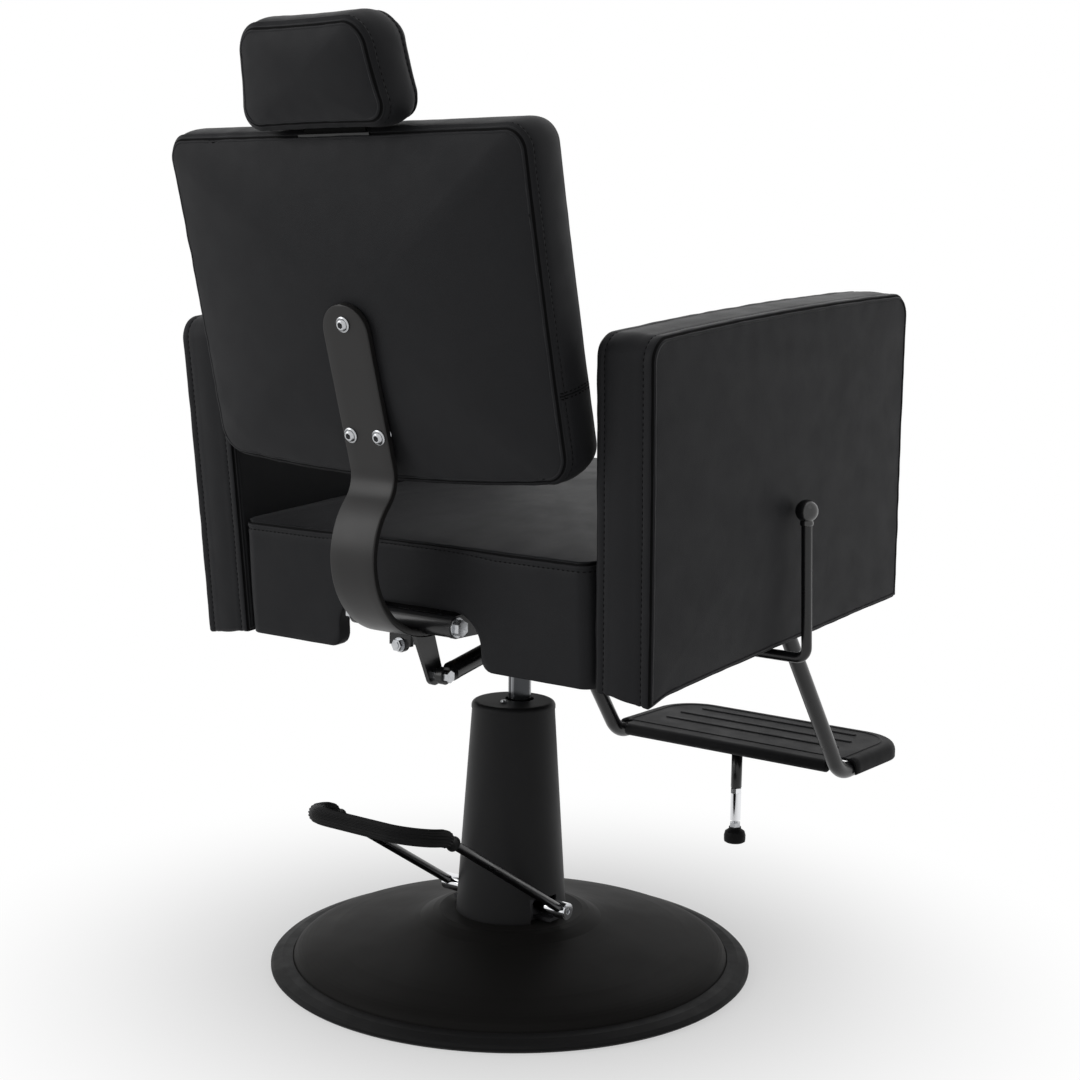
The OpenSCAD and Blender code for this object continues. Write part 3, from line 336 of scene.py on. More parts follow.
def make_ram_chrome():
    p = Paint("chrome_with_painted_reflections", (0.30, 0.31, 0.32), 0.16, metal=1.0)
    # Painted reflection: dark and bright stripes along the ram, from a noise stretched along z, painted into the
    # chrome's colour.
    painted_reflection_stripes = p.noise(95, 2, 0.6, place=p.stretched((1, 1, 0.01)))
    p.colours(p.span(painted_reflection_stripes, 0.40, 0.62, 0.0, 1.0), (0.05, 0.052, 0.055), (0.62, 0.63, 0.65))
    p.roughness(p.noise(120, 3, 0.6), 0.12, 0.22)
    return p.mat


def make_dark_steel_and_socket_shade():
    # Dark oiled steel for the dark_steel parts; the same colour is painted into the bolt sockets as painted shade.
    p = Paint("oiled_steel_and_socket_shade", (0.045, 0.045, 0.048), 0.45, metal=0.6)
    p.colours(p.noise(60, 4, 0.6), (0.030, 0.030, 0.033), (0.060, 0.060, 0.064))
    p.roughness(p.noise(120, 3, 0.6), 0.35, 0.55)
    p.bump(p.noise(500, 3, 0.5), 0.15, 0.0002)
    return p.mat


def make_plywood():
    p = Paint("plywood", (0.56, 0.42, 0.25), 0.6, specular=0.3)
    grain = p.noise(40, 4, 0.6, place=p.stretched((1, 12, 12)))
    p.colours(grain, (0.42, 0.29, 0.16), (0.64, 0.49, 0.31))
    p.bump(grain, 0.2, 0.0003)
    return p.mat


def make_bronze():
    p = Paint("bronze", (0.55, 0.38, 0.16), 0.35, metal=1.0)
    p.roughness(p.noise(200, 3, 0.6), 0.28, 0.42)
    p.bump(p.noise(1500, 2, 0.5), 0.1, 0.0001)
    return p.mat


vinyl, thread_and_seam_shade, powder, enamel = make_vinyl(), make_thread_and_seam_shade(), make_powder_coat(), make_enamel()
charcoal, tread, rubber, ball = make_charcoal(), make_tread(), make_rubber(), make_ball()
zinc, chrome, oiled_and_socket_shade = make_zinc(), make_chrome(), make_dark_steel_and_socket_shade()
SLOT_MATERIALS = {
    "vinyl": vinyl, "satin_black": powder, "gloss_black": enamel, "charcoal": charcoal,
    "dark_steel": oiled_and_socket_shade, "tread": tread, "knob": ball, "rubber": rubber, "zinc": zinc,
    "chrome": chrome, "plywood": make_plywood(), "bronze": make_bronze()}
for sub in frame["record"]["subparts"]:
    node = frame["nodes"][sub["node"]]
    node.data.materials.clear()
    node.data.materials.append(SLOT_MATERIALS[sub["material_slot"]])
# The ram's chrome carries painted reflection stripes in its colour.
frame["nodes"]["ram"].data.materials[0] = make_ram_chrome()
frame["nodes"]["base_dome"].data.materials[0] = make_dome_coat()
# The headrest bracket gets the black coat darkened as painted shade of the gap it sits in.
frame["nodes"]["headrest_bracket"].data.materials[0] = make_gap_shade_coat()


# ---- Frames and mesh helpers ----
def shift(x, y, z):
    return Matrix.Translation((x, y, z))


def spin(angle, axis):
    return Matrix.Rotation(math.radians(angle), 4, axis)


SEAT_TILT, SEAT_PIVOT = 4.3, 430
BAR_TILT, BAR_Y, BAR_Z = 16, 309.7, 802
ON_SEAT = shift(0, 0, SEAT_PIVOT) @ spin(-SEAT_TILT, "X") @ shift(0, 0, -SEAT_PIVOT)
ON_BACK = shift(0, 240.4, 642.4) @ spin(-13.5, "X")
ON_HEAD = shift(0, 354.8, 1010) @ spin(-15, "X")
ON_FACE = shift(0, BAR_Y, BAR_Z) @ spin(-BAR_TILT, "X")
ON_AXLE = shift(0, 11, 86)
ON_LEVER = shift(-66, -93, 420.5) @ spin(-3.8, "X") @ spin(-90, "Y")
MIRROR = Matrix.Scale(-1, 4, (1, 0, 0))


def moved(points, m):
    a = np.array(m)
    return np.asarray(points, float) @ a[:3, :3].T + a[:3, 3]


def add_piece(name, points, faces, mat, body, nodes, slot, place=Matrix.Identity(4)):
    """A mesh from points in millimetres, in the frame given by place."""
    p = moved(points, place) * MM
    if Matrix(place).determinant() < 0:
        faces = [tuple(reversed(f)) for f in faces]
    mesh = bpy.data.meshes.new(name)
    mesh.from_pydata([tuple(v) for v in p], [], [tuple(int(i) for i in f) for f in faces])
    mesh.polygons.foreach_set("use_smooth", [True] * len(mesh.polygons))
    mesh.materials.append(mat)
    mesh.update()
    o = bpy.data.objects.new(name, mesh)
    bpy.context.scene.collection.objects.link(o)
    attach(o, body)
    if nodes:
        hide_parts(*nodes)
    return o


def skin(rings, close_ends=True):
    """Points and faces of a skin over closed rings of equal length."""
    n, m = len(rings[0]), len(rings)
    points = np.concatenate([np.asarray(r, float) for r in rings])
    faces = [(k * n + i, (k + 1) * n + i, (k + 1) * n + (i + 1) % n, k * n + (i + 1) % n)
             for k in range(m - 1) for i in range(n)]
    if close_ends:
        points = np.concatenate([points, [np.mean(rings[0], 0), np.mean(rings[-1], 0)]])
        faces += [(m * n, i, (i + 1) % n) for i in range(n)]
        faces += [(m * n + 1, (m - 1) * n + (i + 1) % n, (m - 1) * n + i) for i in range(n)]
    return points, faces


def joined(parts):
    """One mesh from several (points, faces)."""
    points, faces, base = [], [], 0
    for p, f in parts:
        points.append(np.asarray(p, float))
        faces += [tuple(i + base for i in q) for q in f]
        base += len(p)
    return np.concatenate(points), faces


def lathe(profile, steps):
    """A turned skin about z from [radius, height] pairs that start and end at radius 0."""
    angles = np.linspace(0, 2 * math.pi, steps, endpoint=False)
    return skin([np.stack([r * np.cos(angles), r * np.sin(angles), np.full(steps, z)], 1) for r, z in profile])


def arc(centre, radius, degrees):
    """A 2D point on a circle for each of the angles."""
    w = np.radians(degrees)
    return np.stack([centre[0] + radius * np.cos(w), centre[1] + radius * np.sin(w)], 1)


def raised(flat, z, y=0.0):
    """A 2D outline as a ring at height z, moved along y."""
    return np.column_stack([flat[:, 0], flat[:, 1] + y, np.full(len(flat), float(z))])


# ---- Upholstery ----
LEAST_RADIUS = 0.6


def outline(a, b, radii, inset=0.0, pull=0.0, per_corner=12, per_side=(70, 54)):
    """Rounded rectangle from the +x side's upper corner round, inset and drawn in between its corners."""
    out, corners = [], []
    for q, (sx, sy) in enumerate(((1, 1), (-1, 1), (-1, -1), (1, -1))):
        r = max(radii[q] - inset, LEAST_RADIUS)
        w = (q + np.linspace(0, 1, per_corner + 1)) * math.pi / 2
        x, y = sx * (a - inset - r), sy * (b - inset - r)
        corners.append(np.stack([x + r * np.cos(w), y + r * np.sin(w)], 1))
    for q in range(4):
        out.append(corners[q])
        start, end = corners[q][-1], corners[(q + 1) % 4][0]
        count = per_side[q % 2]
        u = (np.arange(1, count + 1) / (count + 1))[:, None]
        v = end - start
        side = np.array([-v[1], v[0]]) / np.linalg.norm(v)
        draw = pull if np.isscalar(pull) else pull[q]
        out.append(start + v * u + side * draw * 4 * u * (1 - u))
    return np.concatenate(out)


def crown(t):
    """The share of a crowned face's lift that is left at the share t of the way to its edge."""
    return (1 - t ** 2.4) ** 0.85


def pucker(points, normals, amount, grain, seed):
    """Points pushed along their normals by a smooth fixed noise times amount."""
    push = np.array([noise.noise(Vector(p) / grain + Vector((seed, 0, 0))) for p in points])
    return points + normals * (push * amount)[:, None]


PITCH, STITCH, THICK, PROUD = 6.6, 4.5, 0.85, 0.3
STITCH_ROWS = (  # share of the half length, lift off the surface, share of the thickness
    (-1, -0.35, 0.35), (-0.6, 0.0, 0.85), (0, PROUD, 1.0), (0.6, 0.0, 0.85), (1, -0.35, 0.35))


def stitch_line(path, out, closed=True):
    """Thread dashes along a path of points, each lying on the surface whose outward direction is out."""
    path, out = np.asarray(path, float), np.asarray(out, float)
    if closed:
        path, out = np.concatenate([path, path[:1]]), np.concatenate([out, out[:1]])
    run = np.concatenate([[0], np.cumsum(np.linalg.norm(np.diff(path, axis=0), axis=1))])
    count = max(int(run[-1] / PITCH), 1)
    starts = (np.arange(count) + 0.5) * run[-1] / count

    def at(s, values):
        return np.stack([np.interp(s, run, values[:, k]) for k in range(3)], 1)

    parts = [at(starts + d * STITCH / 2, path) for d, _, _ in STITCH_ROWS]
    up = at(starts, out)
    up /= np.linalg.norm(up, axis=1)[:, None]
    along = parts[4] - parts[0]
    along /= np.linalg.norm(along, axis=1)[:, None]
    side = np.cross(along, up)
    points, faces = [], []
    for part, (_, lift, wide) in zip(parts, STITCH_ROWS):
        c = part + up * lift
        for dx, dy in ((1, 0), (0, 1), (-1, 0), (0, -1)):
            points.append(c + side * dx * THICK * wide + up * dy * THICK * wide * 0.8)
    points = np.stack(points, 1).reshape(-1, 3)
    for b in range(0, count * 20, 20):
        for k in range(b, b + 16, 4):
            for j in range(4):
                here, after = k + j, k + (j + 1) % 4
                faces.append((here, after, after + 4, here + 4))
        faces.append((b, b + 1, b + 2, b + 3)[::-1])
        faces.append((b + 16, b + 17, b + 18, b + 19))
    return points, faces


class Pad:
    """A closed padded form in a local frame: x and y across its face, z out of it."""

    def __init__(self, rings, tags):
        """rings run from the low face's middle to the high face's middle; tags name some of them."""
        self.rings, self.tags = rings, tags

    def normals(self):
        r = np.array(self.rings)
        along = np.roll(r, -1, 1) - np.roll(r, 1, 1)
        across = np.empty_like(r)
        across[1:-1] = r[2:] - r[:-2]
        across[0], across[-1] = r[1] - r[0], r[-1] - r[-2]
        n = np.cross(along, across)
        return n / np.maximum(np.linalg.norm(n, axis=2), 1e-9)[..., None]

    def crumple(self, amount, grain, seed, tags, reach=26.0):
        """Small folds that run out from the tagged seams, and a faint unevenness everywhere."""
        r, n = np.array(self.rings), self.normals()
        run = np.concatenate([[0], np.cumsum(np.linalg.norm(np.diff(r[:, 0], axis=0), axis=1))])
        near = np.zeros(len(r))
        for tag in tags:
            near = np.maximum(near, np.exp(-np.abs(run - run[self.tags[tag]]) / reach))
        for k in range(len(r)):
            r[k] = pucker(r[k], n[k], amount * (0.35 + near[k]), grain, seed)
        self.rings = list(r)

    def line(self, tag):
        k = self.tags[tag]
        return self.rings[k], self.normals()[k]

    def skin(self):
        return skin(self.rings)

    def seam_shade_faces(self, tags):
        """1 for each face that lies in the fold of a tagged seam, which takes the dark thread colour as painted
        shade.
        """
        n, count = len(self.rings[0]), len(self.rings)
        dark = {k + d for k in (self.tags[t] for t in tags) for d in (-1, 0)}
        return [1 if f // n in dark and f < n * (count - 1) else 0 for f in range(n * (count + 1))]


def make_pad(a, b, radii, rows, pull=1.0, taper=0.0, per_side=(70, 54)):
    """A pad from rows of (inset, z, scale, tag)."""
    rings, tags = [], {}
    for inset, z, scale, tag in rows:
        flat = outline(a, b, radii, inset, pull, per_side=per_side) * scale
        flat[:, 0] *= 1 - taper * flat[:, 1] / b
        rings.append(raised(flat, z))
        if tag:
            tags[tag] = len(rings) - 1
    return Pad(rings, tags)


def face_shares(steps):
    return np.sin(np.linspace(0.03, 1, steps) * math.pi / 2)[:-1]


def face_rows(inset, z, lift, steps, low=False):
    """Rows of a crowned face, from its middle to its edge, or back where low is False."""
    rows = [(inset, z + lift * crown(t), t, None) for t in face_shares(steps)]
    return rows if low else rows[::-1]


def edge_rows(z_from, z_to, inset, bulge, count):
    """Rows of a side wall that bulges a little in its middle."""
    shares = [k / (count + 1) for k in range(1, count + 1)]
    return [(inset - bulge * math.sin(math.pi * s), z_from + (z_to - z_from) * s, 1, None) for s in shares]


def corner_rows(inset, z, across, up, count):
    """Rows of a soft edge that turns from a side wall into a face."""
    return [(inset + across * (1 - math.cos(w)), z + up * math.sin(w), 1, None)
            for w in np.linspace(0.1, math.pi / 2, count)]


def add_pad(name, pad, body, nodes, place, lines, folds, extra=()):
    """The padded piece with painted shade in its seam folds, where the fold faces take the dark thread colour, and
    its stitches as a second piece.
    """
    o = add_piece(name, *pad.skin(), vinyl, body, nodes, "vinyl", place)
    o.data.materials.append(thread_and_seam_shade)
    # Painted shade: the faces in the seam folds take the dark thread colour.
    o.data.polygons.foreach_set("material_index", pad.seam_shade_faces(folds))
    # Any extra pieces, such as the back's side-seam cords, are painted shade in the thread colour.
    sewn = [stitch_line(*pad.line(tag)) for tag in lines] + list(extra)
    s = add_piece(name + "_stitches", *joined(sewn), thread_and_seam_shade, body, (), "vinyl", place)


def welt_rows(inset, z, sign, tag):
    """The sewn corner between a face and its border: two soft lips with a fold between them, which add_pad paints
    dark as shade.
    """
    return [(inset + 6.2, z + sign * 0.5, 1, None), (inset + 4.4, z + sign * 0.9, 1, None),
            (inset + 3.1, z + sign * 0.5, 1, None), (inset + 2.7, z - sign * 0.3, 1, None),
            (inset + 2.9, z - sign * 2.8, 1, tag), (inset + 0.5, z - sign * 2.4, 1, None),
            (inset - 0.3, z - sign * 3.0, 1, None), (inset - 0.7, z - sign * 4.0, 1, None),
            (inset - 0.8, z - sign * 5.4, 1, None)]


def stitched_rows(inset, z, sign, tag, deep=0.9):
    """A trough with a line of stitches along its middle, rows running towards -sign."""
    return [(inset - 0.3, z + sign * 2.6, 1, None), (inset + deep * 0.5, z + sign * 1.0, 1, None),
            (inset + deep, z, 1, tag), (inset + deep * 0.5, z - sign * 1.0, 1, None),
            (inset - 0.3, z - sign * 2.6, 1, None)]


def swell(z, bulge, span):
    """The inset at height z of a side wall that swells between two seams at the heights in span."""
    low, high = span
    return -bulge * math.sin(math.pi * (z - low) / (high - low)) ** 0.8


def puffed(z_from, z_to, steps, bulge, span):
    """Rows of such a side wall."""
    return [(swell(z, bulge, span), z, 1, None) for z in np.linspace(z_from, z_to, steps)]


def back_pad():
    """The back's cover: a hollowed rear face, a crowned front and a cross seam in each side."""
    half_x, half_y, depth = 254, 185.75, 62
    bulge, span, stitch_z = 5.6, (-1.0, 58.0), 9.5
    rows = face_rows(3.6, 0, -21, 26, low=True)
    rows += welt_rows(0, 0, -1, "rear_seam")
    rows += stitched_rows(swell(stitch_z, bulge, span), stitch_z, -1, "rear_stitch")
    rows += puffed(15, 51, 10, bulge, span)
    rows += corner_rows(-1.6, depth - 9.5, 11.6, 9.5, 9)
    rows += face_rows(10, depth, 20, 24)
    pad = make_pad(half_x, half_y, [24, 24, 32, 32], rows, pull=[0.5, 1.2, -12, 1.2])
    pad.crumple(0.6, 21, 3.1, ["rear_seam"])
    place = ON_BACK @ shift(0, 0, half_y) @ spin(90, "X")
    add_pad("back_cover", pad, "back", ("back_panel", "back_cushion", "back_board"), place,
            ["rear_stitch"], ["rear_seam"], side_seams(pad, -90.75))


def side_seams(pad, seam_y):
    """A thin cord in the dark thread colour across each side wall at the height seam_y, painted shade of the
    seam's crease, with a line of stitches on both sides of it.
    """
    crease_shade_radius, beside = 0.7, 3.2
    r, n = np.array(pad.rings), pad.normals()
    first, last = pad.tags["rear_seam"] + 3, pad.tags["rear_seam"] + 22
    ring = r[pad.tags["rear_stitch"]]
    out = []
    for side in (-1, 1):
        at = int(np.argmin(np.abs(ring[:, 1] - seam_y) + np.where(ring[:, 0] * side > 200, 0, 1e4)))
        path, up = r[first:last, at], n[first:last, at]
        end = len(path) - 1
        # Painted shade: this cord in the thread colour draws the cross seam's crease.
        out.append(skin([ring_round(path[k], path[min(k + 1, end)] - path[max(k - 1, 0)], crease_shade_radius)
                         for k in range(end + 1)]))
        for step in (-beside, beside):
            out.append(stitch_line(path + [0, step, 0], up, closed=False))
    return out


def ring_round(centre, ahead, radius, sides=8):
    """A small ring about a point, square to the direction ahead."""
    ahead = np.array(ahead, float) / np.linalg.norm(ahead)
    a = np.cross(ahead, [0.3, 0.9, 0.31])
    a /= np.linalg.norm(a)
    b = np.cross(ahead, a)
    w = np.linspace(0, 2 * math.pi, sides, endpoint=False)[:, None]
    return centre + radius * (a * np.cos(w) + b * np.sin(w))


def head_pad():
    """The headrest's cover: its top edge falls a little and its depth grows towards the top."""
    half_x, half_y, depth = 94, 52, 66
    bulge, span, rear_z, front_z = 8, (-1.0, 62.0), 9.0, 50.5
    fall, fall_from, wedge = 5.5, 8, 0.07
    rows = face_rows(3.6, 0, -9, 20, low=True)
    rows += welt_rows(0, 0, -1, "rear_seam")
    rows += stitched_rows(swell(rear_z, bulge, span), rear_z, -1, "rear_stitch")
    rows += puffed(14, 46, 8, bulge, span)
    rows += stitched_rows(swell(front_z, bulge, span), front_z, -1, "front_stitch")
    rows += corner_rows(0.6, depth - 8.5, 6.4, 8.5, 7)
    rows += face_rows(7, depth, 12, 18)
    pad = make_pad(half_x, half_y, [26, 26, 22, 22], rows, taper=0.085, per_side=(40, 26))
    for ring in pad.rings:
        forward = np.clip(ring[:, 2] / depth, 0, 1) ** 1.5
        ring[:, 1] -= fall * forward * np.clip((ring[:, 1] - fall_from) / (half_y - fall_from), 0, 1)
        ring[:, 2] *= np.where(ring[:, 2] > 0, 1 + wedge * ring[:, 1] / half_y, 1)
    pad.crumple(0.5, 15, 7.7, ["rear_seam"])
    place = ON_HEAD @ shift(0, 0, half_y) @ spin(90, "X")
    add_pad("headrest_cover", pad, "headrest", ("headrest_panel", "headrest_cushion"), place,
            ["rear_stitch", "front_stitch"], ["rear_seam"])


def arm_pad(name, node, mirror):
    """An arm's cover: its hem droops at the outer rear corner."""
    half_x, half_y, depth = 282.5, 193, 73
    droop, droop_reach, droop_from = 7, 24, 25
    rows = face_rows(3.6, 0, 1.5, 16, low=True)
    rows += welt_rows(0, 1.8, -1, "inner_seam")
    rows += stitched_rows(-0.6, 13, -1, "inner_stitch")
    rows += edge_rows(16, 56, -0.4, 1.6, 9)
    rows += stitched_rows(-0.6, 61, -1, "outer_stitch")
    rows += welt_rows(0, depth, 1, "outer_seam")[::-1]
    rows += face_rows(3.6, depth, 3, 20)
    pad = make_pad(half_x, half_y, [26, 28, 4, 4], rows, pull=[-4, 1, 1, 1])
    pad.crumple(0.55, 23, 11.3 if mirror else 5.9, ["inner_seam", "outer_seam"])
    for ring in pad.rings:
        near = np.exp(-((ring[:, 0] - half_x) ** 2 + (ring[:, 1] + half_y) ** 2) / droop_reach ** 2)
        ring[:, 1] -= droop * near * np.clip((ring[:, 2] - droop_from) / (depth - droop_from), 0, 1)
    place = ON_SEAT @ shift(259.4, -84.1, 431.1) @ spin(2, "Y")
    place = place @ shift(0, 0, half_y) @ spin(90, "Z") @ spin(90, "X")
    if mirror:
        place = MIRROR @ place
    add_pad(name, pad, "seat", (node, "arm_boards"), place,
            ["inner_stitch", "outer_stitch"], ["inner_seam", "outer_seam"])


back_pad()
head_pad()
arm_pad("arm_cover_left", "arm_left", False)
arm_pad("arm_cover_right", "arm_right", True)


def seat_pad():
    """The seat's cover: a crowned top, a seam round it, and a skirt whose rear edge has the notch."""
    half, front, rear, low, seam = 258.6, -372.0, 199.4, 432.0, 571.0
    lift, stitch_z, wall_z, hem_z_in, top_in = 24, seam - 9, seam - 12, low + 30, 528.0
    deep, mid = (rear - front) / 2, (rear + front) / 2
    n_corner, n_side = 12, (120, 70)

    def round_seat(inset, wider=0.0):
        return outline(half + wider, deep, [18, 18, 22, 22], inset, 1.0, n_corner, n_side)

    notch = np.concatenate([[(258, low), (122, low)], arc((121, low + 14), 14, range(270, 179, -15)),
                            arc((67, low + 25), 40, range(0, 91, 10))])
    line = np.concatenate([notch, notch[::-1] * [-1, 1]])
    run = np.concatenate([[0], np.cumsum(np.linalg.norm(np.diff(line, axis=0), axis=1))])
    first, last = n_corner + 1, n_corner + n_side[0]
    xs = round_seat(0)[first:last + 1, 0]
    share = (xs[0] - xs) / (xs[0] - xs[-1])
    start = np.interp(-xs[0], -line[:, 0][:2], run[:2])
    along = start + share * (run[-1] - 2 * start)
    hem_x, hem_z = np.interp(along, run, line[:, 0]), np.interp(along, run, line[:, 1])

    def wall(inset, z, down=None):
        """A ring on the side wall: down is 0 at the seam and 1 at the hem."""
        ring = raised(round_seat(inset), z, mid)
        rear_side = ring[first:last + 1]
        down = (seam - z) / (seam - low) if down is None else down
        drop = min(max(down, 0), 1)
        rear_side[:, 2] = z + (hem_z - low) * drop
        rear_side[:, 0] = rear_side[:, 0] * (1 - drop ** 2) + hem_x * drop ** 2
        return ring

    rings, tags = [], {}
    for t in face_shares(26):
        rings.append(raised(round_seat(2.0, 1.5) * t, seam + 1 + lift * crown(t), mid))
    for inset, z, _, tag in welt_rows(0, seam, 1, "seam") + stitched_rows(0, stitch_z, 1, "stitch"):
        rings.append(wall(inset, z))
        if tag:
            tags[tag] = len(rings) - 1
    for k in range(1, 15):
        rings.append(wall(-0.8 * math.sin(math.pi * k / 15), wall_z - (wall_z - low - 2) * k / 15))
    for inset, over in ((0.3, 1.2), (1.0, 0.3), (2.4, 0), (9, 0), (15.6, 0), (17, 0.4), (18, 2)):
        rings.append(wall(inset, low + over, 1))
    rings += [wall(18, hem_z_in), wall(18, top_in)]
    pad = Pad([r[::-1] for r in rings], tags)
    pad.crumple(0.5, 24, 1.7, ["seam"])
    nodes = ("seat_cushion", "skirt_front", "skirt_left", "skirt_right", "skirt_rear")
    add_pad("seat_cover", pad, "seat", nodes, ON_SEAT, ["stitch"], ["seam"])


seat_pad()


# ---- Rods and tubes ----
def path_frames(steps, start, fine=5.0):
    """Frames along ["go", length] and ["turn", bend radius, angle, roll] steps, with the distance run."""
    m, run = start.copy(), 0.0
    out = [(m.copy(), run)]
    for s in steps:
        if s[0] == "go":
            m = m @ shift(0, 0, s[1])
            run += s[1]
            out.append((m.copy(), run))
        else:
            _, radius, angle, roll = s
            n = max(int(abs(angle) / fine), 2)
            for k in range(1, n + 1):
                w = angle * k / n
                bow = math.radians(w)
                bent = spin(roll, "Z") @ shift(radius * (1 - math.cos(bow)), 0, radius * math.sin(bow))
                out.append((m @ bent @ spin(w, "Y") @ spin(-roll, "Z"), run + radius * bow))
            m, run = out[-1][0].copy(), out[-1][1]
    return out


def ring_on(m, radius, sides, flutes=0, depth=0.0):
    """A ring about the z axis of the frame m, with flutes of the given depth if any."""
    w = np.linspace(0, 2 * math.pi, sides, endpoint=False)
    r = radius - depth * (0.5 - 0.5 * np.cos(w * flutes)) ** 0.6 if flutes else np.full(sides, float(radius))
    return moved(np.stack([r * np.cos(w), r * np.sin(w), np.zeros(sides)], 1), m)


def tube(frames, radius, sides):
    return skin([ring_on(m, radius, sides) for m, _ in frames])


def footrest():
    """The bent tube with its two legs, the cross bar under the tread and the foot's post."""
    half, r, z_low, front, corner, bend, leg_y, rise = 188, 11, 170, -688.6, 60, 48, -503.6, 54.4
    under_seat, seat_base, cross_y, cross_r, fine = 150, 530, -542, 7, 3.0
    run_z = seat_base - r - 0.3
    c, s = math.cos(math.radians(SEAT_TILT)), math.sin(math.radians(SEAT_TILT))
    sr, cr = math.sin(math.radians(rise)), math.cos(math.radians(rise))
    leg = (run_z - SEAT_PIVOT - (z_low - SEAT_PIVOT) * c - leg_y * s) / (sr * c + cr * s)
    low_t = bend * math.tan(math.radians(rise / 2))
    top_t = bend * math.tan(math.radians((rise + SEAT_TILT) / 2))
    steps = [["go", under_seat], ["turn", bend, rise + SEAT_TILT, 270], ["go", leg - low_t - top_t],
             ["turn", bend, rise, 90], ["go", leg_y - low_t - front - corner], ["turn", corner, 90, 180]]
    steps = steps + [["go", 2 * (half - corner)]] + steps[::-1]
    top_y = (leg_y + leg * cr) * c - (z_low + leg * sr - SEAT_PIVOT) * s
    start = ON_SEAT @ shift(half, top_y + top_t + under_seat, run_z) @ spin(90, "X")
    parts = [tube(path_frames(steps, start, fine), r, 40)]
    parts.append(skin([ring_on(shift(x, cross_y, z_low) @ spin(90, "Y"), cross_r, 28) for x in (-half, half)]))
    points, faces = lathe([(0, 108), (7.2, 108.2), (8, 109.2), (8, z_low), (0, z_low)], 40)
    parts.append((moved(points, shift(0, cross_y, 0)), faces))
    add_piece("footrest_tube", *joined(parts), enamel, "seat", ("footrest_frame",), "gloss_black")


def tread_piece():
    """The moulded tread: a plate with rolled front and side edges, a rear roll, a border line and ribs."""
    half, front, rear, notch_x, notch_y = 202.0, -702.5, -505.0, 172.0, -530.0
    top_z, under_z, corner, soft = 186.0, 182.4, 70, 1.5
    rolled = [(12, top_z), (9.6, 185.75), (7.2, 185), (5.2, 183.9), (3.3, 182.2), (1.8, 180), (0.7, 177.4),
              (0.1, 174.5), (0, 171), (0, 165), (0.4, 164.2), (1.2, 164), (2.1, 164.2), (2.5, 165), (2.5, 171),
              (3.2, 175.6), (5.4, 179.4), (8.4, 181.7), (12, under_z)]
    n_side, n_front, n_corner = 7, 24, 19

    def plan(inset, side):
        """One front corner, seen from above."""
        r = corner - inset
        from_w = 180 if side < 0 else 270
        return arc((side * (half - inset - r), front + inset + r), r, np.linspace(from_w, from_w + 90, n_corner))

    def edge_line(inset):
        left, right = plan(inset, -1), plan(inset, 1)
        ys = np.linspace(notch_y, front + corner, n_side + 1)[:-1]
        xs = np.linspace(left[-1, 0], right[0, 0], n_front + 2)[1:-1]
        return np.concatenate([np.stack([np.full(n_side, -half + inset), ys], 1), left,
                               np.stack([xs, np.full(n_front, front + inset)], 1), right,
                               np.stack([np.full(n_side, half - inset), ys[::-1]], 1)])

    notch = np.array([[half - 12, notch_y], [notch_x + 5, notch_y], [notch_x + soft, notch_y + soft],
                      [notch_x, notch_y + 5], [notch_x, rear]])
    inner = np.concatenate([notch, notch[::-1] * [-1, 1]])
    bands = [raised(edge_line(inset), z) for inset, z in rolled]
    n, count = len(bands[0]), len(bands)
    faces = [(k * n + i, (k + 1) * n + i, (k + 1) * n + i + 1, k * n + i + 1)
             for k in range(count - 1) for i in range(n - 1)]
    faces += [tuple(k * n for k in range(count))[::-1], tuple(k * n + n - 1 for k in range(count))]
    top = np.concatenate([bands[0], raised(inner, top_z)])
    under = np.concatenate([bands[-1], raised(inner, under_z)])
    m = len(top)
    parts = [(np.concatenate(bands), faces)]
    parts.append((np.concatenate([top, under]), [tuple(range(m))[::-1], tuple(range(m, 2 * m))]
                  + [(i, i + 1, m + i + 1, m + i) for i in range(n - 1, m - 1)]))
    w = np.radians(np.linspace(0, 360, 40, endpoint=False))
    roll = []
    for x, r in [(-171, 6.0), (-170.4, 7.8), (-169, 8.8), (-167, 9.0)]:
        roll.append(np.stack([np.full(40, float(x)), rear + 0.5 + r * np.cos(w), 177 + r * np.sin(w)], 1))
    roll += [ring * [-1, 1, 1] for ring in roll[::-1]]
    parts.append(skin(roll))
    rib_wide, rib_tall = 4.2, 1.9
    rib = [(-0.6, -0.4), (0, 0.2), (0.35, rib_tall * 0.6), (1.0, rib_tall * 0.92), (1.9, rib_tall)]
    for y, rib_half in ((-657, 134), (-617, 148), (-577, 148)):
        parts.append(skin([raised(outline(rib_half, rib_wide, [4.0] * 4, inset, 0.0, 10, (10, 2)), top_z + z, y)
                           for inset, z in rib]))
    mid, deep = (front + rear) / 2, (rear - front) / 2
    border = ((18.4, -0.3), (19.0, 0.7), (19.9, 1.3), (20.8, 1.3), (21.7, 0.7), (22.3, -0.3))
    parts.append(skin([raised(outline(half - d, deep - d, [6, 6, 52, 52], 0, 0.0, 10, (30, 12)), top_z + z, mid)
                       for d, z in border], close_ends=False))
    o = add_piece("tread_plate", *joined(parts), tread, "seat", ("footrest_pad",), "tread")
    o.data.polygons.foreach_set("use_smooth", [len(p.vertices) < 9 for p in o.data.polygons])


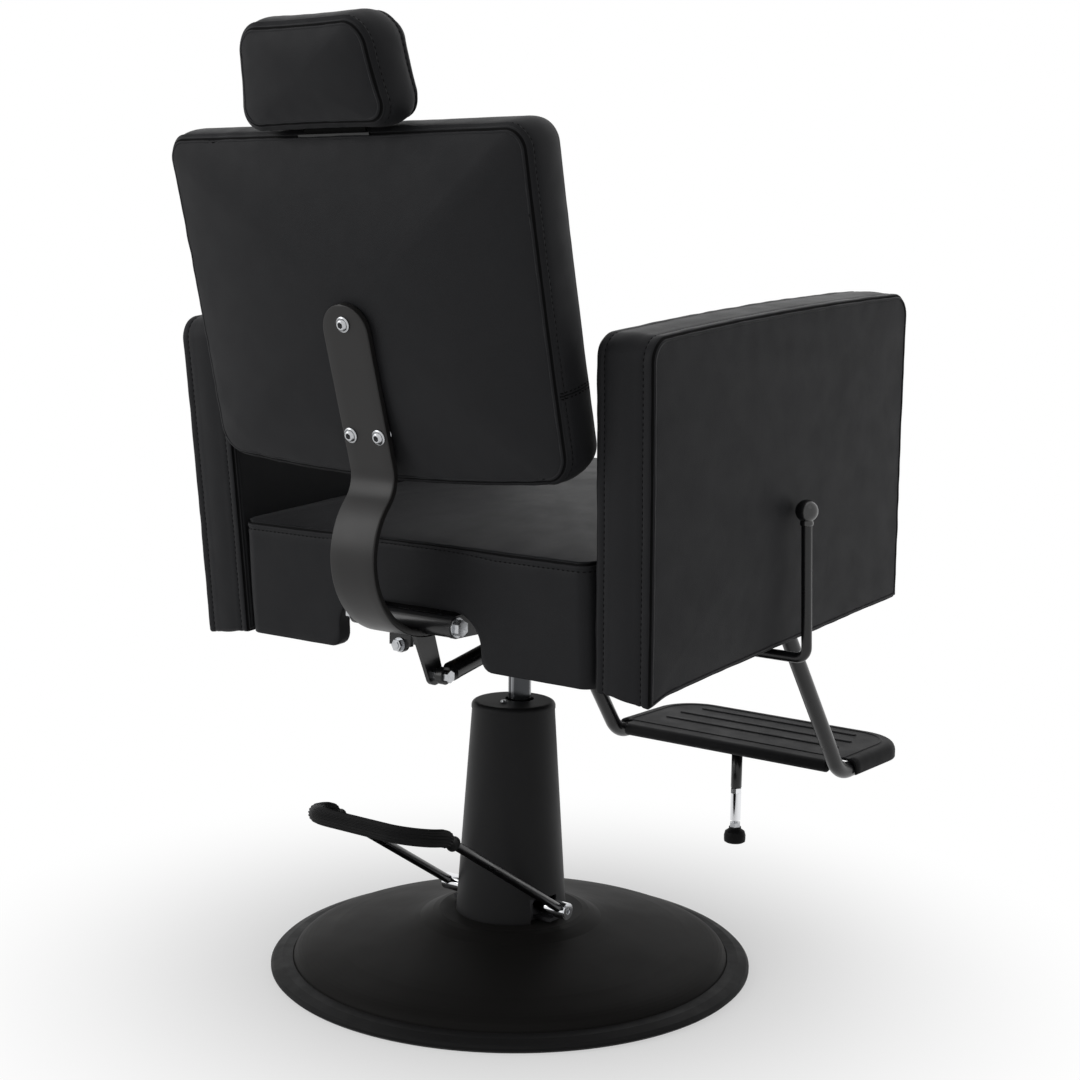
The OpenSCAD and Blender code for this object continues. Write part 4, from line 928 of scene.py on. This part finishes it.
def carrier():
    """The flat bar: its bow, its upper bend and the straight part with a round end."""
    r_bow, r_bend, thick, wide, bow_from, end_z = 96.0, 38.0, 8.0, 32.0, -91.5, 825.5
    tilt = math.radians(BAR_TILT)
    bow_c = np.array([201.0, 545.0])
    ahead, out = np.array([math.sin(tilt), math.cos(tilt)]), np.array([math.cos(tilt), -math.sin(tilt)])
    far = np.array([BAR_Y, BAR_Z]) + r_bend * out - bow_c
    k = far @ ahead
    bend_c = bow_c + far + (-k + math.sqrt(k * k - far @ far + (r_bow + r_bend) ** 2)) * ahead
    other = bow_c + far + (-k - math.sqrt(k * k - far @ far + (r_bow + r_bend) ** 2)) * ahead
    bend_c = max((bend_c, other), key=lambda q: q[1])
    bow_to = math.degrees(math.atan2(bend_c[1] - bow_c[1], bend_c[0] - bow_c[0]))
    line = np.concatenate([arc(bow_c, r_bow - thick / 2, np.linspace(bow_from, bow_to, 90)),
                           arc(bend_c, r_bend + thick / 2, np.linspace(bow_to + 180, 180 - BAR_TILT, 24)[1:])])
    straight = np.linspace(0, (end_z - line[-1, 1]) / ahead[1], 70)[1:, None]
    line = np.concatenate([line, line[-1] + ahead * straight])
    rings = []
    for i, p in enumerate(line):
        along = line[min(i + 1, len(line) - 1)] - line[max(i - 1, 0)]
        along /= np.linalg.norm(along)
        side = np.array([along[1], -along[0]])
        over = max(p[1] - (end_z - wide), 0)
        half = max(math.sqrt(max(wide ** 2 - over ** 2, 0)), 2.5) if over else wide
        flat = outline(half, thick / 2, [1.6] * 4, 0, 0.0, 5, (4, 1))
        rings.append(np.column_stack([flat[:, 0], p[0] + side[0] * flat[:, 1], p[1] + side[1] * flat[:, 1]]))
    add_piece("carrier_flat", *skin(rings), charcoal, "back", ("carrier_bar",), "charcoal")


def socket_bolts():
    """Button heads on washers, each with a hexagon socket whose deep walls and floor take the dark steel colour as
    painted shade, and their spacers behind the bar.
    """
    sides, socket_shade_from = 48, 18
    parts, dark = [], []
    w = np.linspace(0, 2 * math.pi, sides, endpoint=False)
    hexed = math.cos(math.pi / 6) / np.cos((w + math.pi / 6) % (math.pi / 3) - math.pi / 6)
    for x, z, spacer in ((0, 1, -30.4), (20.5, -127, -25), (-20.5, -127, -25)):
        # radius, height over the bar's face, 1 where the ring is a hexagon
        profile = [(0, -36, 0), (4, -36, 0), (4, spacer, 0), (7.5, spacer, 0), (7.5, -8.1, 0), (4, -8.1, 0),
                   (4, 0.1, 0), (8.5, 0.1, 0), (8.9, 0.5, 0), (8.9, 1.2, 0), (8.6, 1.5, 0), (7.0, 1.5, 0),
                   (7.0, 2.2, 0), (6.5, 3.6, 0), (5.4, 4.8, 0), (4.4, 5.6, 0), (3.9, 5.6, 1), (3.6, 5.3, 1),
                   (3.5, 3.0, 1), (0, 2.8, 1)]
        rings = []
        for radius, y, hexagon in profile:
            r = radius * (hexed if hexagon else 1)
            rings.append(np.stack([x + r * np.cos(w), np.full(sides, float(y)), z - r * np.sin(w)], 1))
        parts.append(skin(rings))
        # Painted shade: the faces deep inside each socket take the dark steel colour.
        dark += [1 if max(f) % (sides * len(profile) + 2) >= sides * socket_shade_from else 0 for f in parts[-1][1]]
    o = add_piece("bolt_heads", *joined(parts), zinc, "back", ("back_bolts",), "zinc", ON_FACE)
    o.data.materials.append(oiled_and_socket_shade)
    o.data.polygons.foreach_set("material_index", dark)


def lever_ball():
    """The ball on the lever's end, with the short neck that the rod runs into."""
    neck = [(0, -17.2), (6.4, -17.2), (7.4, -16.6), (7.9, -15.2), (7.9, -13.4), (7.5, -12.2)]
    profile = neck + [(max(r, 0.0), z) for r, z in arc((0, 0), 13.3, np.linspace(-56, 90, 30))]
    place = ON_LEVER @ shift(175, 0, 291) @ spin(90, "Y")
    add_piece("knob_ball", *lathe(profile, 64), ball, "recline_handle", ("lever_knob",), "knob", place)


def pedal():
    """The pedal's bent rod, and the fluted rubber sleeve with a cuff at each end on its loop."""
    half, slope, arm, bend, cross, rod_r = 87, 32.4, 264, 44, 86, 5.5
    sleeve_from, sleeve_r, flutes, flute_depth, sides, fine = 262, 10.2, 18, 1.5, 144, 4.0
    bore_r, bore_in = 5.6, 13.9
    start = ON_AXLE @ shift(half, 0, 0) @ spin(slope - 90, "X")
    loop = [["turn", 30, 21, 90], ["turn", bend, 90, 180], ["go", cross], ["turn", bend, 90, 180],
            ["turn", 30, 21, 90]]
    rod = path_frames([["go", arm + 6]] + loop + [["go", arm + 6]], start @ shift(0, 0, -6))
    add_piece("pedal_rod", *tube(rod, rod_r, 28), enamel, "pedal", ("pedal_bar",), "gloss_black")
    outer = path_frames([["go", 2]] + loop + [["go", 2]], start @ shift(0, 0, sleeve_from), fine)
    dense = []
    for (m0, r0), (m1, r1) in zip(outer[:-1], outer[1:]):
        n = max(int((r1 - r0) / fine), 1)
        dense += [m0.lerp(m1, k / n) for k in range(n)]
    rings = [ring_on(m, sleeve_r, sides, flutes, flute_depth) for m in dense[1:]]
    cuff = [(-14, 6.4), (-14, 8.3), (-13.4, 9.0), (-11.8, 9.1), (-11.0, 8.4), (-10.2, 8.0), (-4, 8.0), (-1.5, 8.2),
            (0.0, 9.0)]
    first, last = outer[0][0], outer[-1][0]
    head = [ring_on(first @ shift(0, 0, -bore_in), bore_r, sides)]
    head += [ring_on(first @ shift(0, 0, d), r, sides) for d, r in cuff]
    tail = [ring_on(last @ shift(0, 0, -d), r, sides) for d, r in cuff[::-1]]
    tail += [ring_on(last @ shift(0, 0, bore_in), bore_r, sides)]
    add_piece("pedal_sleeve", *skin(head + rings + tail), rubber, "pedal", ("pedal_grip",), "rubber")


footrest()
tread_piece()
carrier()
socket_bolts()
lever_ball()
pedal()
